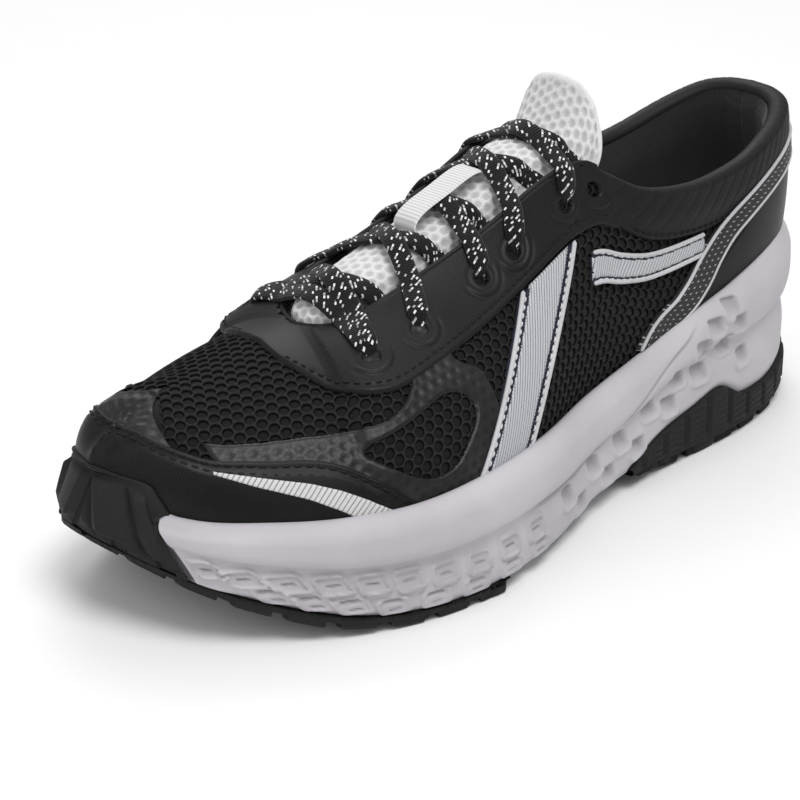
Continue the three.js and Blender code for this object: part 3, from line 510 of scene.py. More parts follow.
def merge(parts):
    """Joins (points, faces, values) parts into one."""
    points, faces, keys = [], [], parts[0][2].keys()
    values = {key: [] for key in keys}
    count = 0
    for part_points, part_faces, part_values in parts:
        points.append(part_points.reshape(-1, 3))
        faces.append(part_faces + count)
        for key in keys:
            values[key].append(np.asarray(part_values[key]).reshape(len(points[-1]), -1))
        count += len(points[-1])
    return np.concatenate(points), np.concatenate(faces), {
        key: np.concatenate(value) for key, value in values.items()}


def weld(points, faces, values=None, size=0.02):
    """Merges points that lie together."""
    key = np.round(points / size).astype(np.int64)
    _, first, back = np.unique(key, axis=0, return_index=True, return_inverse=True)
    faces = back.ravel()[faces]
    kept = {k: np.asarray(v)[first] for k, v in (values or {}).items()}
    return points[first], faces, kept


def arc_lengths(points, axis):
    hop = np.linalg.norm(np.diff(points, axis=axis), axis=-1)
    zero = np.zeros_like(np.take(hop, [0], axis=axis))
    return np.concatenate([zero, np.cumsum(hop, axis=axis)], axis=axis)


def stops(width, step, edge=0.9):
    """Shares from 0 to 1 across a width, closer together near both ends."""
    near = np.array([0, 0.12, 0.3, 0.6, 1.0]) * edge / width
    count = max(int((width - 2 * edge) / step), 1)
    middle = np.linspace(near[-1], 1 - near[-1], count + 1)
    return np.concatenate([near[:-1], middle, (1 - near[:-1])[::-1]])


def edge_round(distance, width):
    t = np.clip(distance / width, 0, 1)
    return np.sqrt(np.maximum(1 - (1 - t)**2, 0))


covers = []


def cover(points, distance, deep=1.7):
    covers.append(points[distance > deep].reshape(-1, 3))


def path_curve(*places):
    """A smooth path through (wrap, rise) places, read at shares 0 to 1 of its run."""
    spots = np.array(places, float)
    hop = np.linalg.norm(np.diff(spots * (3.0, 1.0), axis=0), axis=1)
    at = np.concatenate([[0], np.cumsum(hop)]) / hop.sum()
    rows = {"at": at, "wrap": spots[:, 0], "rise": spots[:, 1]}
    wrap, rise = curve(rows, "at", "wrap"), curve(rows, "at", "rise")
    return lambda t: np.stack([wrap(t), rise(t)], -1)


def strip(low, high, step=0.9, free=(True, True, True, True)):
    """A grid between two paths. Gives wrap, rise, distances from its edges and lengths."""
    rough = np.linspace(0, 1, 40)
    a, b = low(rough), high(rough)
    pa, pb = upper_at(a[:, 0], a[:, 1]), upper_at(b[:, 0], b[:, 1])
    long = max(arc_lengths(pa, 0)[-1], arc_lengths(pb, 0)[-1])
    wide = np.linalg.norm(pa - pb, axis=1).max()
    t = stops(long, step)
    j = stops(wide, step)
    a, b = low(t), high(t)
    spots = mix(a[:, None, :], b[:, None, :], j[None, :, None])
    wrap, rise = spots[..., 0], spots[..., 1]
    points = upper_at(wrap, rise)
    along, across = arc_lengths(points, 0), arc_lengths(points, 1)
    far = np.full(wrap.shape, 99.0)
    for k, d in enumerate((across, across[:, -1:] - across, along, along[-1:] - along)):
        if free[k]:
            far = np.minimum(far, d)
    return wrap, rise, far, along, across


def panel(name, low, high, material, slot, thick=0.8, sink=0.5, step=0.9, soft=0.9,
          free=(True, True, True, True), replaces=(), relief=None, mask=None):
    """An overlay between two paths, with rounded edges that sink into what is below."""
    wrap, rise, far, along, across = strip(low, high, step, free)
    lift = -sink + (sink + thick) * edge_round(far, soft)
    if relief is not None:
        lift = lift + relief(wrap, rise, along, across, far) * smooth(far, 0, soft)
    points = lifted(wrap, rise, lift)
    cover(upper_at(wrap, rise), far)
    u, v = to_chart(wrap, rise)
    faces = grid_faces(*wrap.shape)
    values = {"along": along, "across": across, "edge": far, "chart": np.stack([u, v], -1)}
    if mask is not None:
        values["mask"] = mask(wrap, rise, along, across)
    faces = facing(faces, points, faces, upper_normal(wrap, rise))
    count = points.size // 3
    values = {key: np.asarray(value).reshape(count, -1) for key, value in values.items()}
    return make(name, points, faces, material, slot, replaces, **values)


def facing(faces, points, sample, normals):
    """The faces, turned over if the sampled ones look against the normals."""
    flat, wanted = points.reshape(-1, 3), normals.reshape(-1, 3)
    face = sample[len(sample) // 2::max(len(sample) // 50, 1)]
    turn = np.cross(flat[face[:, 2]] - flat[face[:, 0]], flat[face[:, 3]] - flat[face[:, 1]])
    return faces[:, ::-1] if np.sum(turn * wanted[face[:, 0]]) < 0 else faces


def inside(polygon, x, y):
    """Whether each point lies in the polygon."""
    hit = np.zeros(np.shape(x), bool)
    px, py = polygon[:, 0], polygon[:, 1]
    for k in range(len(px)):
        x0, y0, x1, y1 = px[k - 1], py[k - 1], px[k], py[k]
        if y0 == y1:
            continue
        crosses = (y0 > y) != (y1 > y)
        hit ^= crosses & (x < (x1 - x0) * (y - y0) / (y1 - y0) + x0)
    return hit


def stitches(paths, lift, long=2.1, gap=0.9, wide=0.42, proud=0.28):
    """Thread stitches along (wrap, rise) paths, as one mesh part."""
    parts = []
    for path in paths:
        t = np.linspace(0, 1, 400)
        spots = path(t)
        points = upper_at(spots[:, 0], spots[:, 1])
        run = arc_lengths(points, 0)
        count = int((run[-1] - 1) / (long + gap))
        if count < 1:
            continue
        start = 0.5 + np.arange(count) * (long + gap)
        k = np.array([0, 0.12, 0.5, 0.88, 1.0])
        at = start[:, None] + k[None, :] * long
        wrap, rise = np.interp(at, run, spots[:, 0]), np.interp(at, run, spots[:, 1])
        centre = upper_at(wrap, rise)
        normal = upper_normal(wrap, rise)
        ahead = centre[:, -1:] - centre[:, :1]
        ahead = ahead / np.maximum(np.linalg.norm(ahead, axis=-1, keepdims=True), 1e-9)
        side = np.cross(normal, np.broadcast_to(ahead, normal.shape))
        angle = np.linspace(0, 2 * np.pi, 6, endpoint=False)
        slim = np.array([0.1, 0.8, 1.0, 0.8, 0.1])
        high = lift + proud * np.array([-1.6, 0.3, 1.0, 0.3, -1.6])
        ring = (centre[:, :, None] + normal[:, :, None] * high[None, :, None, None]
                + side[:, :, None] * (wide * slim[:, None] * np.cos(angle))[None, ..., None]
                + normal[:, :, None] * (proud * slim[:, None] * np.sin(angle))[None, ..., None])
        for one in ring:
            parts.append((one.reshape(-1, 3), grid_faces(5, 6, closed=True),
                          {"along": np.zeros(30)}))
    return merge(parts)


def chart_panel(name, edge, material, slot, holes=(), thick=0.8, sink=0.5, step=0.8,
                soft=0.9, relief=None, replaces=(), hidden_under=True):
    """An overlay bounded by closed outlines in (wrap, rise), gridded in the chart."""
    loops = [np.stack(to_chart(ring[:, 0], ring[:, 1]), -1) for ring in (edge, *holes)]
    loops[0][:, 0] = np.minimum(loops[0][:, 0], CHART_FRONT)
    loops = [dense(ring, 0.25) for ring in loops]
    low, high = loops[0].min(0) - step, loops[0].max(0) + step
    us, vs = np.arange(low[0], high[0], step), np.arange(low[1], high[1], step)
    u, v = np.meshgrid(us, vs, indexing="ij")
    kept = inside(loops[0], u, v)
    for ring in loops[1:]:
        kept &= ~inside(ring, u, v)
    rim = np.concatenate(loops)
    tree = kdtree.KDTree(len(rim))
    for k, (a, b) in enumerate(rim):
        tree.insert((a, b, 0), k)
    tree.balance()
    near = kept.copy()
    for k in range(2):
        near[1:] |= near[:-1]
        near[:-1] |= near[1:]
        near[:, 1:] |= near[:, :-1]
        near[:, :-1] |= near[:, 1:]
    far = np.zeros(u.shape)
    for i, j in np.argwhere(near):
        _, found, gap = tree.find((u[i, j], v[i, j], 0))
        if kept[i, j] and gap > 0.3 * step:
            far[i, j] = gap
        elif gap < 0.95 * step:
            u[i, j], v[i, j] = rim[found]
            kept[i, j] = True
        else:
            kept[i, j] = False
    wrap, rise = from_chart(u, v)
    kept &= ~np.isnan(rise) & near
    wrap, rise = np.where(kept, wrap, 0.5), np.where(kept, rise, 0.5)
    lift = -sink + (sink + thick) * edge_round(far, soft)
    if relief is not None:
        lift = lift + relief(wrap, rise, u, v, far) * smooth(far, 0, soft)
    base = upper_at(wrap, rise)
    points = base + upper_normal(wrap, rise) * lift[..., None]
    if hidden_under:
        cover(base[kept], far[kept])
    faces = grid_faces(*u.shape)
    faces = faces[kept.ravel()[faces].all(1)]
    faces = facing(faces, points, faces, upper_normal(wrap, rise))
    return make(name, points, faces, material, slot, replaces,
                chart=np.stack([u, v], -1).reshape(-1, 2), edge=far.reshape(-1, 1))


def dense(ring, step):
    """A closed outline with points close together."""
    ends = np.roll(ring, -1, axis=0)
    parts = []
    for a, b in zip(ring, ends):
        count = max(int(np.linalg.norm(b - a) / step), 1)
        parts.append(mix(a, b, np.arange(count)[:, None] / count))
    return np.concatenate(parts)


def ring_of(*places, mirrored=False):
    """A rounded closed outline through (round, rise) places, on the outer or the inner side."""
    spots = dense(np.array(places, float), 0.012)
    for _ in range(6):
        spots = (np.roll(spots, 1, axis=0) + 2 * spots + np.roll(spots, -1, axis=0)) / 4
    if mirrored:
        spots[:, 0] = 2 - spots[:, 0]
    return spots


def wrap_of(rnd, side):
    return rnd if side < 0 else 2 - rnd


def mirror(path):
    """A (wrap, rise) path on the other side of the shoe."""
    return np.stack([2 - path[:, 0], path[:, 1]], -1)


# ---- Materials

class Tree:
    """A procedural material under construction."""

    def __init__(self, name, rough=0.6, specular=0.5):
        self.material = bpy.data.materials.new(name)
        self.material.use_nodes = True
        self.all = self.material.node_tree.nodes
        self.links = self.material.node_tree.links
        self.skin = self.all["Principled BSDF"]
        self.skin.inputs["Roughness"].default_value = rough
        self.skin.inputs["Specular IOR Level"].default_value = specular
        self.space = self.node("ShaderNodeTexCoord", "Object")

    def feed(self, socket, value):
        if isinstance(value, bpy.types.NodeSocket):
            self.links.new(value, socket)
        else:
            socket.default_value = value

    def node(self, kind, out=0, values=None, **settings):
        made = self.all.new(kind)
        for key, value in settings.items():
            setattr(made, key, value)
        for key, value in (values or {}).items():
            self.feed(made.inputs[key], value)
        return made.outputs[out]

    def noise(self, per_mm, detail):
        return self.node("ShaderNodeTexNoise", 0, {
            "Vector": self.space, "Scale": per_mm / MM, "Detail": detail})

    def range(self, value, low, high, start=0.0, end=1.0):
        return self.node("ShaderNodeMapRange", 0, {
            "Value": value, "From Min": low, "From Max": high, "To Min": start, "To Max": end})

    def math(self, operation, a, b=0.0):
        return self.node("ShaderNodeMath", 0, {0: a, 1: b}, operation=operation)

    def blend(self, factor, a, b):
        made = self.all.new("ShaderNodeMix")
        made.data_type = "RGBA"
        self.feed(made.inputs[0], factor)
        self.feed(made.inputs[6], (*a, 1) if isinstance(a, tuple) else a)
        self.feed(made.inputs[7], (*b, 1) if isinstance(b, tuple) else b)
        return made.outputs[2]

    def attribute(self, name, part=None):
        spot = self.node("ShaderNodeAttribute", "Vector" if part is not None else "Fac",
                         attribute_name=name)
        if part is None:
            return spot
        return self.node("ShaderNodeSeparateXYZ", part, {0: spot})

    def colour(self, value):
        self.feed(self.skin.inputs["Base Color"], value)

    def rough(self, value):
        self.feed(self.skin.inputs["Roughness"], value)

    def bump(self, height, depth_mm, strength=1.0, after=None):
        values = {"Height": height, "Distance": depth_mm * MM, "Strength": strength}
        if after is not None:
            values["Normal"] = after
        made = self.node("ShaderNodeBump", 0, values)
        self.links.new(made, self.skin.inputs["Normal"])
        return made


def textured(name, dark, light, rough, grain=1.2, depth=0.12, patch=0.03):
    """A material with fine grain and slow patches between two colours."""
    tree = Tree(name, rough, 0.16)
    slow = tree.range(tree.noise(patch, 3.0), 0.35, 0.65)
    fine = tree.noise(grain, 3.0)
    fleck = tree.range(fine, 0.3, 0.7)
    tree.colour(tree.blend(tree.math("ADD", tree.math("MULTIPLY", slow, 0.5),
                                     tree.math("MULTIPLY", fleck, 0.5)), dark, light))
    tree.rough(tree.range(slow, 0.0, 1.0, rough - 0.06, rough + 0.06))
    tree.bump(fine, depth, 0.8)
    return tree


def grey(value, blue=0.0):
    return (value, value, value * (1 + blue))


def woven(name, dark, light, rough, thread=0.5, depth=0.15, sheen=0.2):
    """Cloth with a fine weave in the object's own axes."""
    tree = Tree(name, rough, 0.12)
    parts = [tree.node("ShaderNodeTexWave", 1, {
        "Vector": tree.space, "Scale": 2 * math.pi * 1000 / thread / 20, "Distortion": 0.6,
        "Detail": 1.0, "Detail Scale": 3.0}, bands_direction=axis) for axis in ("X", "Z")]
    weave = tree.math("MAXIMUM", *parts)
    fuzz = tree.noise(2.4, 3.0)
    tone = tree.math("ADD", tree.math("MULTIPLY", weave, 0.55), tree.math("MULTIPLY", fuzz, 0.45))
    tree.colour(tree.blend(tone, dark, light))
    tree.bump(tone, depth, 0.8)
    tree.skin.inputs["Sheen Weight"].default_value = sheen
    return tree


def net_material():
    tree = Tree("net_mesh", 0.8, 0.15)
    deep = tree.attribute("deep")
    yarn = tree.noise(3.0, 3.0)
    web = tree.blend(tree.range(yarn, 0.3, 0.7), grey(0.008), grey(0.026, 0.03))
    # Painted shade: the web's colour darkens to near black down the walls of its holes.
    tree.colour(tree.blend(tree.range(deep, 0.1, 0.75), web, grey(0.003)))
    tree.bump(yarn, 0.12, 0.8)
    return tree.material


def film_material():
    tree = Tree("film", 0.42, 0.25)
    slow = tree.range(tree.noise(0.04, 3.0), 0.35, 0.65)
    fine = tree.noise(1.6, 4.0)
    far = tree.attribute("dent")
    base = tree.blend(slow, grey(0.009, 0.03), grey(0.02, 0.03))
    base = tree.blend(tree.math("MULTIPLY", far, 0.55), base, grey(0.005))
    tree.colour(base)
    tree.rough(tree.range(fine, 0.3, 0.7, 0.3, 0.46))
    tree.bump(fine, 0.06, 0.7)
    return tree.material


def hatched_material(name, dark, light, lean=35.0, pitch=1.05):
    """A fill with fine slanting lines, from the panel's chart."""
    tree = Tree(name, 0.5)
    u, v = tree.attribute("chart", 0), tree.attribute("chart", 1)
    turn = math.radians(lean)
    across = tree.math("ADD", tree.math("MULTIPLY", u, math.cos(turn) / pitch),
                       tree.math("MULTIPLY", v, math.sin(turn) / pitch))
    wave = tree.math("ABSOLUTE", tree.math("SINE", tree.math("MULTIPLY", across, math.pi)))
    line = tree.range(wave, 0.1, 0.5)
    grain = tree.noise(2.0, 3.0)
    soft = tree.blend(tree.range(grain, 0.3, 0.7), tuple(0.9 * c for c in light), light)
    tree.colour(tree.blend(line, dark, soft))
    first = tree.bump(line, 0.14, 0.9)
    tree.bump(grain, 0.05, 0.6, first)
    return tree.material


def foam_material():
    tree = Tree("foam", 0.62, 0.35)
    tree.skin.inputs["Subsurface Weight"].default_value = 0.02
    tree.skin.inputs["Subsurface Scale"].default_value = 0.002
    slow = tree.range(tree.noise(0.03, 3.0), 0.35, 0.65)
    pore = tree.noise(2.2, 4.0)
    skin = tree.blend(slow, (0.47, 0.45, 0.48), (0.53, 0.51, 0.54))
    # Painted shade: the foam's colour darkens towards dark grey in its moulded slits, pits and
    # groove.
    low = tree.range(tree.attribute("hollow_shade"), 0.0, 1.0)
    tree.colour(tree.blend(tree.math("MULTIPLY", low, 0.8), skin, (0.15, 0.145, 0.16)))
    tree.rough(tree.range(pore, 0.3, 0.7, 0.56, 0.7))
    tree.bump(pore, 0.07, 0.8)
    return tree.material


def lace_material():
    """Black braid with pale flecks in slanting pairs."""
    tree = Tree("lace_braid", 0.8, 0.15)
    u, v = tree.attribute("along"), tree.attribute("across")
    cell_a = tree.math("MULTIPLY", tree.math("ADD", u, v), 1 / FLECK_PITCH)
    cell_b = tree.math("MULTIPLY", tree.math("SUBTRACT", u, v), 1 / FLECK_PITCH)
    cell = tree.node("ShaderNodeCombineXYZ", 0, {
        0: tree.math("FLOOR", cell_a), 1: tree.math("FLOOR", cell_b)})
    chance = tree.node("ShaderNodeTexWhiteNoise", "Value", {"Vector": cell},
                       noise_dimensions="3D")
    odd = tree.math("MODULO", tree.math("ABSOLUTE", tree.math("FLOOR", cell_a)), 2.0)
    share = tree.math("FRACT", cell_b)
    mark = tree.math("MULTIPLY", tree.math("GREATER_THAN", share, 0.22),
                     tree.math("LESS_THAN", share, 0.7))
    wide = tree.math("FRACT", cell_a)
    mark = tree.math("MULTIPLY", mark, tree.math("GREATER_THAN", wide, 0.12))
    mark = tree.math("MULTIPLY", mark, tree.math("GREATER_THAN", chance, 0.7))
    mark = tree.math("MULTIPLY", mark, tree.math("ADD", 0.55, tree.math("MULTIPLY", odd, 0.45)))
    yarn = tree.noise(3.0, 3.0)
    black = tree.blend(tree.range(yarn, 0.3, 0.7), grey(0.003), grey(0.009))
    tree.colour(tree.blend(mark, black, grey(0.85)))
    weave = tree.math("MULTIPLY", tree.math("SINE", tree.math("MULTIPLY", cell_a, 2 * math.pi)),
                      tree.math("SINE", tree.math("MULTIPLY", cell_b, 2 * math.pi)))
    first = tree.bump(weave, 0.16, 0.8)
    tree.bump(yarn, 0.1, 0.6, first)
    tree.skin.inputs["Sheen Weight"].default_value = 0.15
    return tree.material


def tongue_material():
    tree = Tree("tongue_mesh", 0.8, 0.25)
    yarn = tree.noise(2.6, 3.0)
    dent = tree.attribute("dent")
    cloth = tree.blend(tree.range(yarn, 0.3, 0.7), grey(0.62), grey(0.8))
    tree.colour(tree.blend(tree.math("MULTIPLY", dent, 0.6), cloth, grey(0.33)))
    tree.bump(yarn, 0.14, 0.8)
    tree.skin.inputs["Sheen Weight"].default_value = 0.25
    return tree.material


def ribbed_material(name, dark, light, pitch=1.2):
    """Webbing with ribs along the piece's own length."""
    tree = Tree(name, 0.75, 0.3)
    wave = tree.math("SINE", tree.math("MULTIPLY", tree.attribute("along"), 2 * math.pi / pitch))
    rib = tree.range(wave, -1.0, 1.0)
    yarn = tree.noise(3.0, 3.0)
    tone = tree.math("ADD", tree.math("MULTIPLY", rib, 0.6), tree.math("MULTIPLY", yarn, 0.4))
    tree.colour(tree.blend(tone, dark, light))
    tree.bump(tone, 0.2, 0.8)
    return tree.material


def dotted_material():
    """Heel strap: dark grey with rows of pin dots."""
    tree = textured("strap_dots", grey(0.022, 0.04), grey(0.036, 0.04), 0.5, 1.6, 0.05)
    pitch = 2.6
    parts = []
    for part in ("along", "across"):
        t = tree.math("MULTIPLY", tree.attribute(part), 2 * math.pi / pitch)
        parts.append(tree.math("COSINE", t))
    dot = tree.range(tree.math("ADD", *parts), 1.45, 1.7)
    base = tree.skin.inputs["Base Color"].links[0].from_socket
    tree.colour(tree.blend(dot, base, grey(0.35)))
    return tree.material


def engraved_material():
    """The toe cap: black synthetic with fine fanned lines near its top edge."""
    tree = textured("toe_cap_synthetic", grey(0.005), grey(0.011, 0.04), 0.4, 1.8, 0.05)
    turn = tree.math("ADD", tree.math("MULTIPLY", tree.attribute("along"), 2 * math.pi / 0.95),
                     tree.math("MULTIPLY", tree.attribute("across"), 1.4))
    line = tree.math("MULTIPLY", tree.range(tree.math("SINE", turn), -0.2, 0.8),
                     tree.attribute("mask"))
    tree.bump(line, 0.1, 1.0, tree.skin.inputs["Normal"].links[0].from_socket)
    return tree.material


SHELL = woven("knit", grey(0.003), grey(0.01), 0.85).material
NET = net_material()
FILM = film_material()
SYNTHETIC = textured("black_synthetic", grey(0.005), grey(0.011, 0.04), 0.42, 1.8, 0.07).material
CAP = engraved_material()
EYESTAY = textured("eyestay_synthetic", grey(0.007, 0.05), grey(0.015, 0.05),
                   0.44, 1.5, 0.08).material
COLLAR = textured("collar_synthetic", grey(0.008, 0.06), grey(0.017, 0.06),
                  0.5, 1.4, 0.08).material
LINING = woven("lining", grey(0.006), grey(0.022), 0.9, 0.7, 0.2, 0.3).material
TOE_HATCH = hatched_material("toe_hatch", grey(0.2), grey(0.62), 62.0, 1.5)
BAND = hatched_material("band_hatch", grey(0.12, 0.06), (0.5, 0.51, 0.54))
BORDER = textured("band_border", (0.012, 0.014, 0.024), (0.024, 0.028, 0.045),
                  0.45, 1.6, 0.06).material
PIPING = textured("piping", grey(0.42, 0.04), grey(0.58, 0.04), 0.55, 2.0, 0.08).material
THREAD_DARK = textured("thread_dark", grey(0.006), grey(0.018), 0.6, 3.0, 0.08).material
THREAD_PALE = textured("thread_pale", grey(0.5), grey(0.7), 0.6, 3.0, 0.08).material
STRAP = dotted_material()
FOAM = foam_material()
RUBBER = textured("outsole_rubber", grey(0.01), grey(0.02), 0.6, 1.5, 0.1, 0.02).material
LACE = lace_material()
TONGUE_CLOTH = tongue_material()
WEBBING = ribbed_material("webbing", grey(0.45), grey(0.78))
INSOLE_CLOTH = woven("insole_cloth", grey(0.01), grey(0.03), 0.9, 0.6, 0.15, 0.25).material


# ---- The upper's shell and the open mesh over it

def shell():
    wrap = np.concatenate([np.linspace(0, 2, 421)[:-1], [2.0]])
    rise = np.linspace(0, 1, 49)
    outer = lifted(wrap[:, None], rise[None, :], -1.0)
    inner = lifted(wrap[:, None], rise[None, ::-1], -WALL)
    points = np.concatenate([outer, inner], 1)
    faces = grid_faces(len(wrap), points.shape[1])
    flat = points.reshape(-1, 3)
    rnd = fold(wrap)[0]
    rim = (faces[:, 0] % points.shape[1]) == len(rise) - 1
    front = rnd[faces[:, 0] // points.shape[1]] > THROAT_FRONT
    faces = faces[~(rim & front)]
    ways = np.concatenate([upper_normal(wrap[:, None], rise[None, :]),
                           -upper_normal(wrap[:, None], rise[None, ::-1])], 1)
    faces = facing(faces, points, faces, ways)
    flat, faces, _ = weld(flat, faces)
    return make("upper_shell", flat, faces, SHELL, "mesh", ["upper"])


def net():
    row = HOLE_PITCH * math.sqrt(3) / 2
    centres = []
    for j in range(-60, 61):
        offset = HOLE_PITCH / 2 if j % 2 else 0
        for i in range(0, 90):
            centres.append((i * HOLE_PITCH + offset, j * row))
    centres = np.array(centres)
    wrap, rise = from_chart(centres[:, 0], centres[:, 1])
    good = ~np.isnan(rise) & (centres[:, 0] > CHART_U[0] + 4) & (centres[:, 0] < CHART_U[-1] - 3)
    good &= np.where(good, rise, 0) > rim_rise(np.where(good, wrap, 0)) - 0.06
    centres, wrap, rise = centres[good], wrap[good], rise[good]
    points = upper_at(wrap, rise)
    hidden = np.concatenate(covers)
    tree = kdtree.KDTree(len(hidden))
    for k, p in enumerate(hidden):
        tree.insert(p, k)
    tree.balance()
    open_ = np.array([tree.find(p)[2] > 1.3 for p in points])
    centres = centres[open_]
    turn = np.arange(12) * np.pi / 6
    outer = np.where(np.arange(12) % 2, HOLE_PITCH / math.sqrt(3), HOLE_PITCH / 2)
    radii = [outer, 0.465 * HOLE_PITCH, 0.43 * HOLE_PITCH, 0.4 * HOLE_PITCH, 0.38 * HOLE_PITCH]
    lifts = [0.0, -0.06, -0.3, -0.75, -1.15]
    # Share of painted shade for each ring, none at the crest, full down in the hole.
    hole_shades = [0.0, 0.1, 0.5, 1.0, 1.0]
    radii = np.array([np.broadcast_to(r, 12) for r in radii])
    u = centres[:, 0, None, None] + radii * np.cos(turn)
    v = centres[:, 1, None, None] + radii * np.sin(turn)
    wrap, rise = from_chart(u, v)
    whole = ~np.isnan(rise).any(axis=(1, 2))
    u, v, wrap, rise = u[whole], v[whole], wrap[whole], rise[whole]
    lift = np.array(lifts)[None, :, None] + 0 * u
    deep = np.array(hole_shades)[None, :, None] + 0 * u
    points = lifted(wrap, rise, lift)
    one = grid_faces(5, 12, closed=True)
    faces = (one[None] + 60 * np.arange(len(points))[:, None, None]).reshape(-1, 4)
    faces = facing(faces, points, faces, upper_normal(wrap, rise))
    flat, faces, values = weld(points.reshape(-1, 3), faces, {"deep": deep.reshape(-1, 1)}, 0.15)
    return make("upper_net", flat, faces, NET, "mesh", **values)


# ---- Panels on the upper

EYESTAY_LOW = table(
    "round low",
    (0.445, 0.8), (0.5, 0.76), (0.56, 0.7), (0.62, 0.64), (0.68, 0.6),
    (0.72, 0.65), (0.745, 0.78), (0.765, 0.92), (0.775, 1.0),
)
CAP_TOP = table(
    "round top",
    (0.64, 0.09), (0.669, 0.13), (0.7, 0.255), (0.738, 0.36), (0.796, 0.415),
    (0.854, 0.475), (0.9, 0.585), (0.92, 0.668), (0.94, 0.755), (0.96, 0.83),
    (0.98, 0.885), (1, 0.905),
)
eyestay_low = curve(EYESTAY_LOW, "round", "low")
cap_top = curve(CAP_TOP, "round", "top")
CAP_START = 0.64
CAP_TUCK = 2.0

TOE_WINDOW = ((.925, 1), (.912, .86), (.885, .76), (.873, .617), (.850, .558), (.804, .508),
              (.758, .483), (.712, .467), (.681, .500), (.669, .533), (.658, .642), (.677, .658),
              (.700, .658), (.719, .700), (.732, .800), (.742, .9), (.748, 1))
SIDE_WINDOW = ((.715, .383), (.700, .333), (.669, .233), (.658, .200), (.638, .217), (.630, .267),
               (.618, .333), (.612, .400), (.620, .483), (.635, .525), (.642, .500))


def cap_low(wrap):
    """The toe cap's lower edge: behind the rim, then above the bumper's lip."""
    rnd = fold(wrap)[0]
    front = rise_at(wrap, rim_at(along_at(rnd)) + lip_at(rnd) - CAP_TUCK)
    return np.where(rnd < BUMPER_LIP["round"][0], rim_rise(wrap) - 0.05, front)


def toe_cap():
    def low(t):
        wrap = mix(CAP_START, 2 - CAP_START, t)
        return np.stack([wrap, cap_low(wrap)], -1)

    def high(t):
        wrap = mix(CAP_START, 2 - CAP_START, t)
        return np.stack([wrap, cap_top(fold(wrap)[0])], -1)

    def channel(wrap, rise, along, across, far):
        from_top = across[:, -1:] - across
        return -0.4 * np.exp(-((from_top - 2.6) / 1.3)**4)

    def fan(wrap, rise, along, across):
        from_top = across[:, -1:] - across
        return smooth(fold(wrap)[0], 0.83, 0.9) * smooth(from_top, 4, 6) * (
            1 - smooth(from_top, 11, 20))

    return panel("toe_cap_panel", low, high, CAP, "panel", thick=1.2, step=0.9, soft=1.3,
                 relief=channel, replaces=["toe_cap"], mask=fan)


def film():
    fore = np.linspace(0.63, 1, 80)
    low = np.stack([fore, cap_top(fore) - 0.04], -1)
    back = np.array([(0.60, 0.52), (0.59, 0.35), (0.60, 0.2), (0.615, 0.1)])
    far = mirror(low)[::-1]
    rear = mirror(back)[::-1]
    top = np.array([(1.38, 0.62), (1.38, 0.8), (2 - .65, 1.0), (2 - .7, 1.0), (2 - .715, 1.0),
                    (.7, 1.0), (.65, 1.0), (0.62, 0.8), (0.62, 0.62)])
    edge = np.concatenate([low, far, rear, top, back])
    toe = path_curve(*TOE_WINDOW)(np.linspace(0, 1, 160))
    holes = [np.concatenate([toe, mirror(toe)[::-1]]), ring_of(*SIDE_WINDOW),
             ring_of(*SIDE_WINDOW, mirrored=True)]

    def dimples(wrap, rise, u, v, far):
        near = hole_distance(u, v)
        return -0.3 * (1 - smooth(near, 0.7, 1.6)) * smooth(far, 1.0, 3.0)

    def front_low(t):
        wrap = mix(0.872, 1.128, t)
        return np.stack([wrap, cap_top(fold(wrap)[0]) - 0.05], -1)

    def front_high(t):
        wrap = mix(0.928, 1.072, t)
        return np.stack([wrap, np.ones_like(wrap)], -1)

    def front_relief(wrap, rise, along, across, far):
        from_end = np.minimum(along, along[-1:] - along)
        seam = 0.2 - 0.6 * (1 - smooth(from_end, 0.5, 7.0))
        return seam - 0.25 * (1 - smooth(hole_distance(*to_chart(wrap, rise)), 0.7, 1.6))

    panel("film_front", front_low, front_high, FILM, "panel", thick=0.4, step=0.8,
          free=(True, False, False, False), relief=front_relief)
    made = chart_panel("film", edge, FILM, "panel", holes, thick=0.45, step=0.75, soft=0.7,
                       relief=dimples)
    mesh = made.data
    spots = np.empty(len(mesh.vertices) * 3)
    mesh.attributes["chart"].data.foreach_get("vector", spots)
    u, v = spots.reshape(-1, 3)[:, 0], spots.reshape(-1, 3)[:, 1]
    dent = 1 - smooth(hole_distance(u, v), 0.7, 1.6)
    layer = mesh.attributes.new("dent", "FLOAT", "POINT")
    layer.data.foreach_set("value", dent)
    return made


def eyestay():
    fore = np.linspace(0.445, 0.775, 50)
    low = np.stack([fore, eyestay_low(fore)], -1)
    far = mirror(low)[::-1]
    throat = np.linspace(0.445, THROAT_FRONT, 60)
    inner = np.stack([2 - throat, np.ones_like(throat)], -1)
    outer = np.stack([throat[::-1], np.ones_like(throat)], -1)
    edge = np.concatenate([low, far, inner, outer])
    holes = []
    turn = np.linspace(0, 2 * np.pi, 36, endpoint=False)
    crescents = []
    for side in (-1, 1):
        for rnd, rise in EYELETS:
            u, v = to_chart(wrap_of(rnd, side), rise)
            wrap, up = from_chart(u + EYELET_RADIUS * np.cos(turn),
                                  v + EYELET_RADIUS * np.sin(turn))
            holes.append(np.stack([wrap, up], -1)[~np.isnan(up)])
            crescents.append((u, v, side))

    def ridges(wrap, rise, u, v, far):
        lift = np.zeros(u.shape)
        for cu, cv, side in crescents:
            away = np.hypot(u - cu, v - cv)
            below = smooth(side * (v - cv), -1.0, 2.5)
            lift += 0.45 * below * np.exp(-((away - 5.6) / 0.55)**2)
            lift -= 0.3 * below * np.exp(-((away - 6.9) / 0.5)**2)
            lift += 0.25 * np.exp(-((away - 3.0) / 0.5)**2)
        return lift - 0.18 * np.exp(-((far - 2.6) / 0.45)**2) * (np.abs(v) > 22)

    return chart_panel("eyestay_panel", edge, EYESTAY, "panel", holes, thick=1.1, step=0.6,
                       soft=1.1, relief=ridges, replaces=["eyestay"])


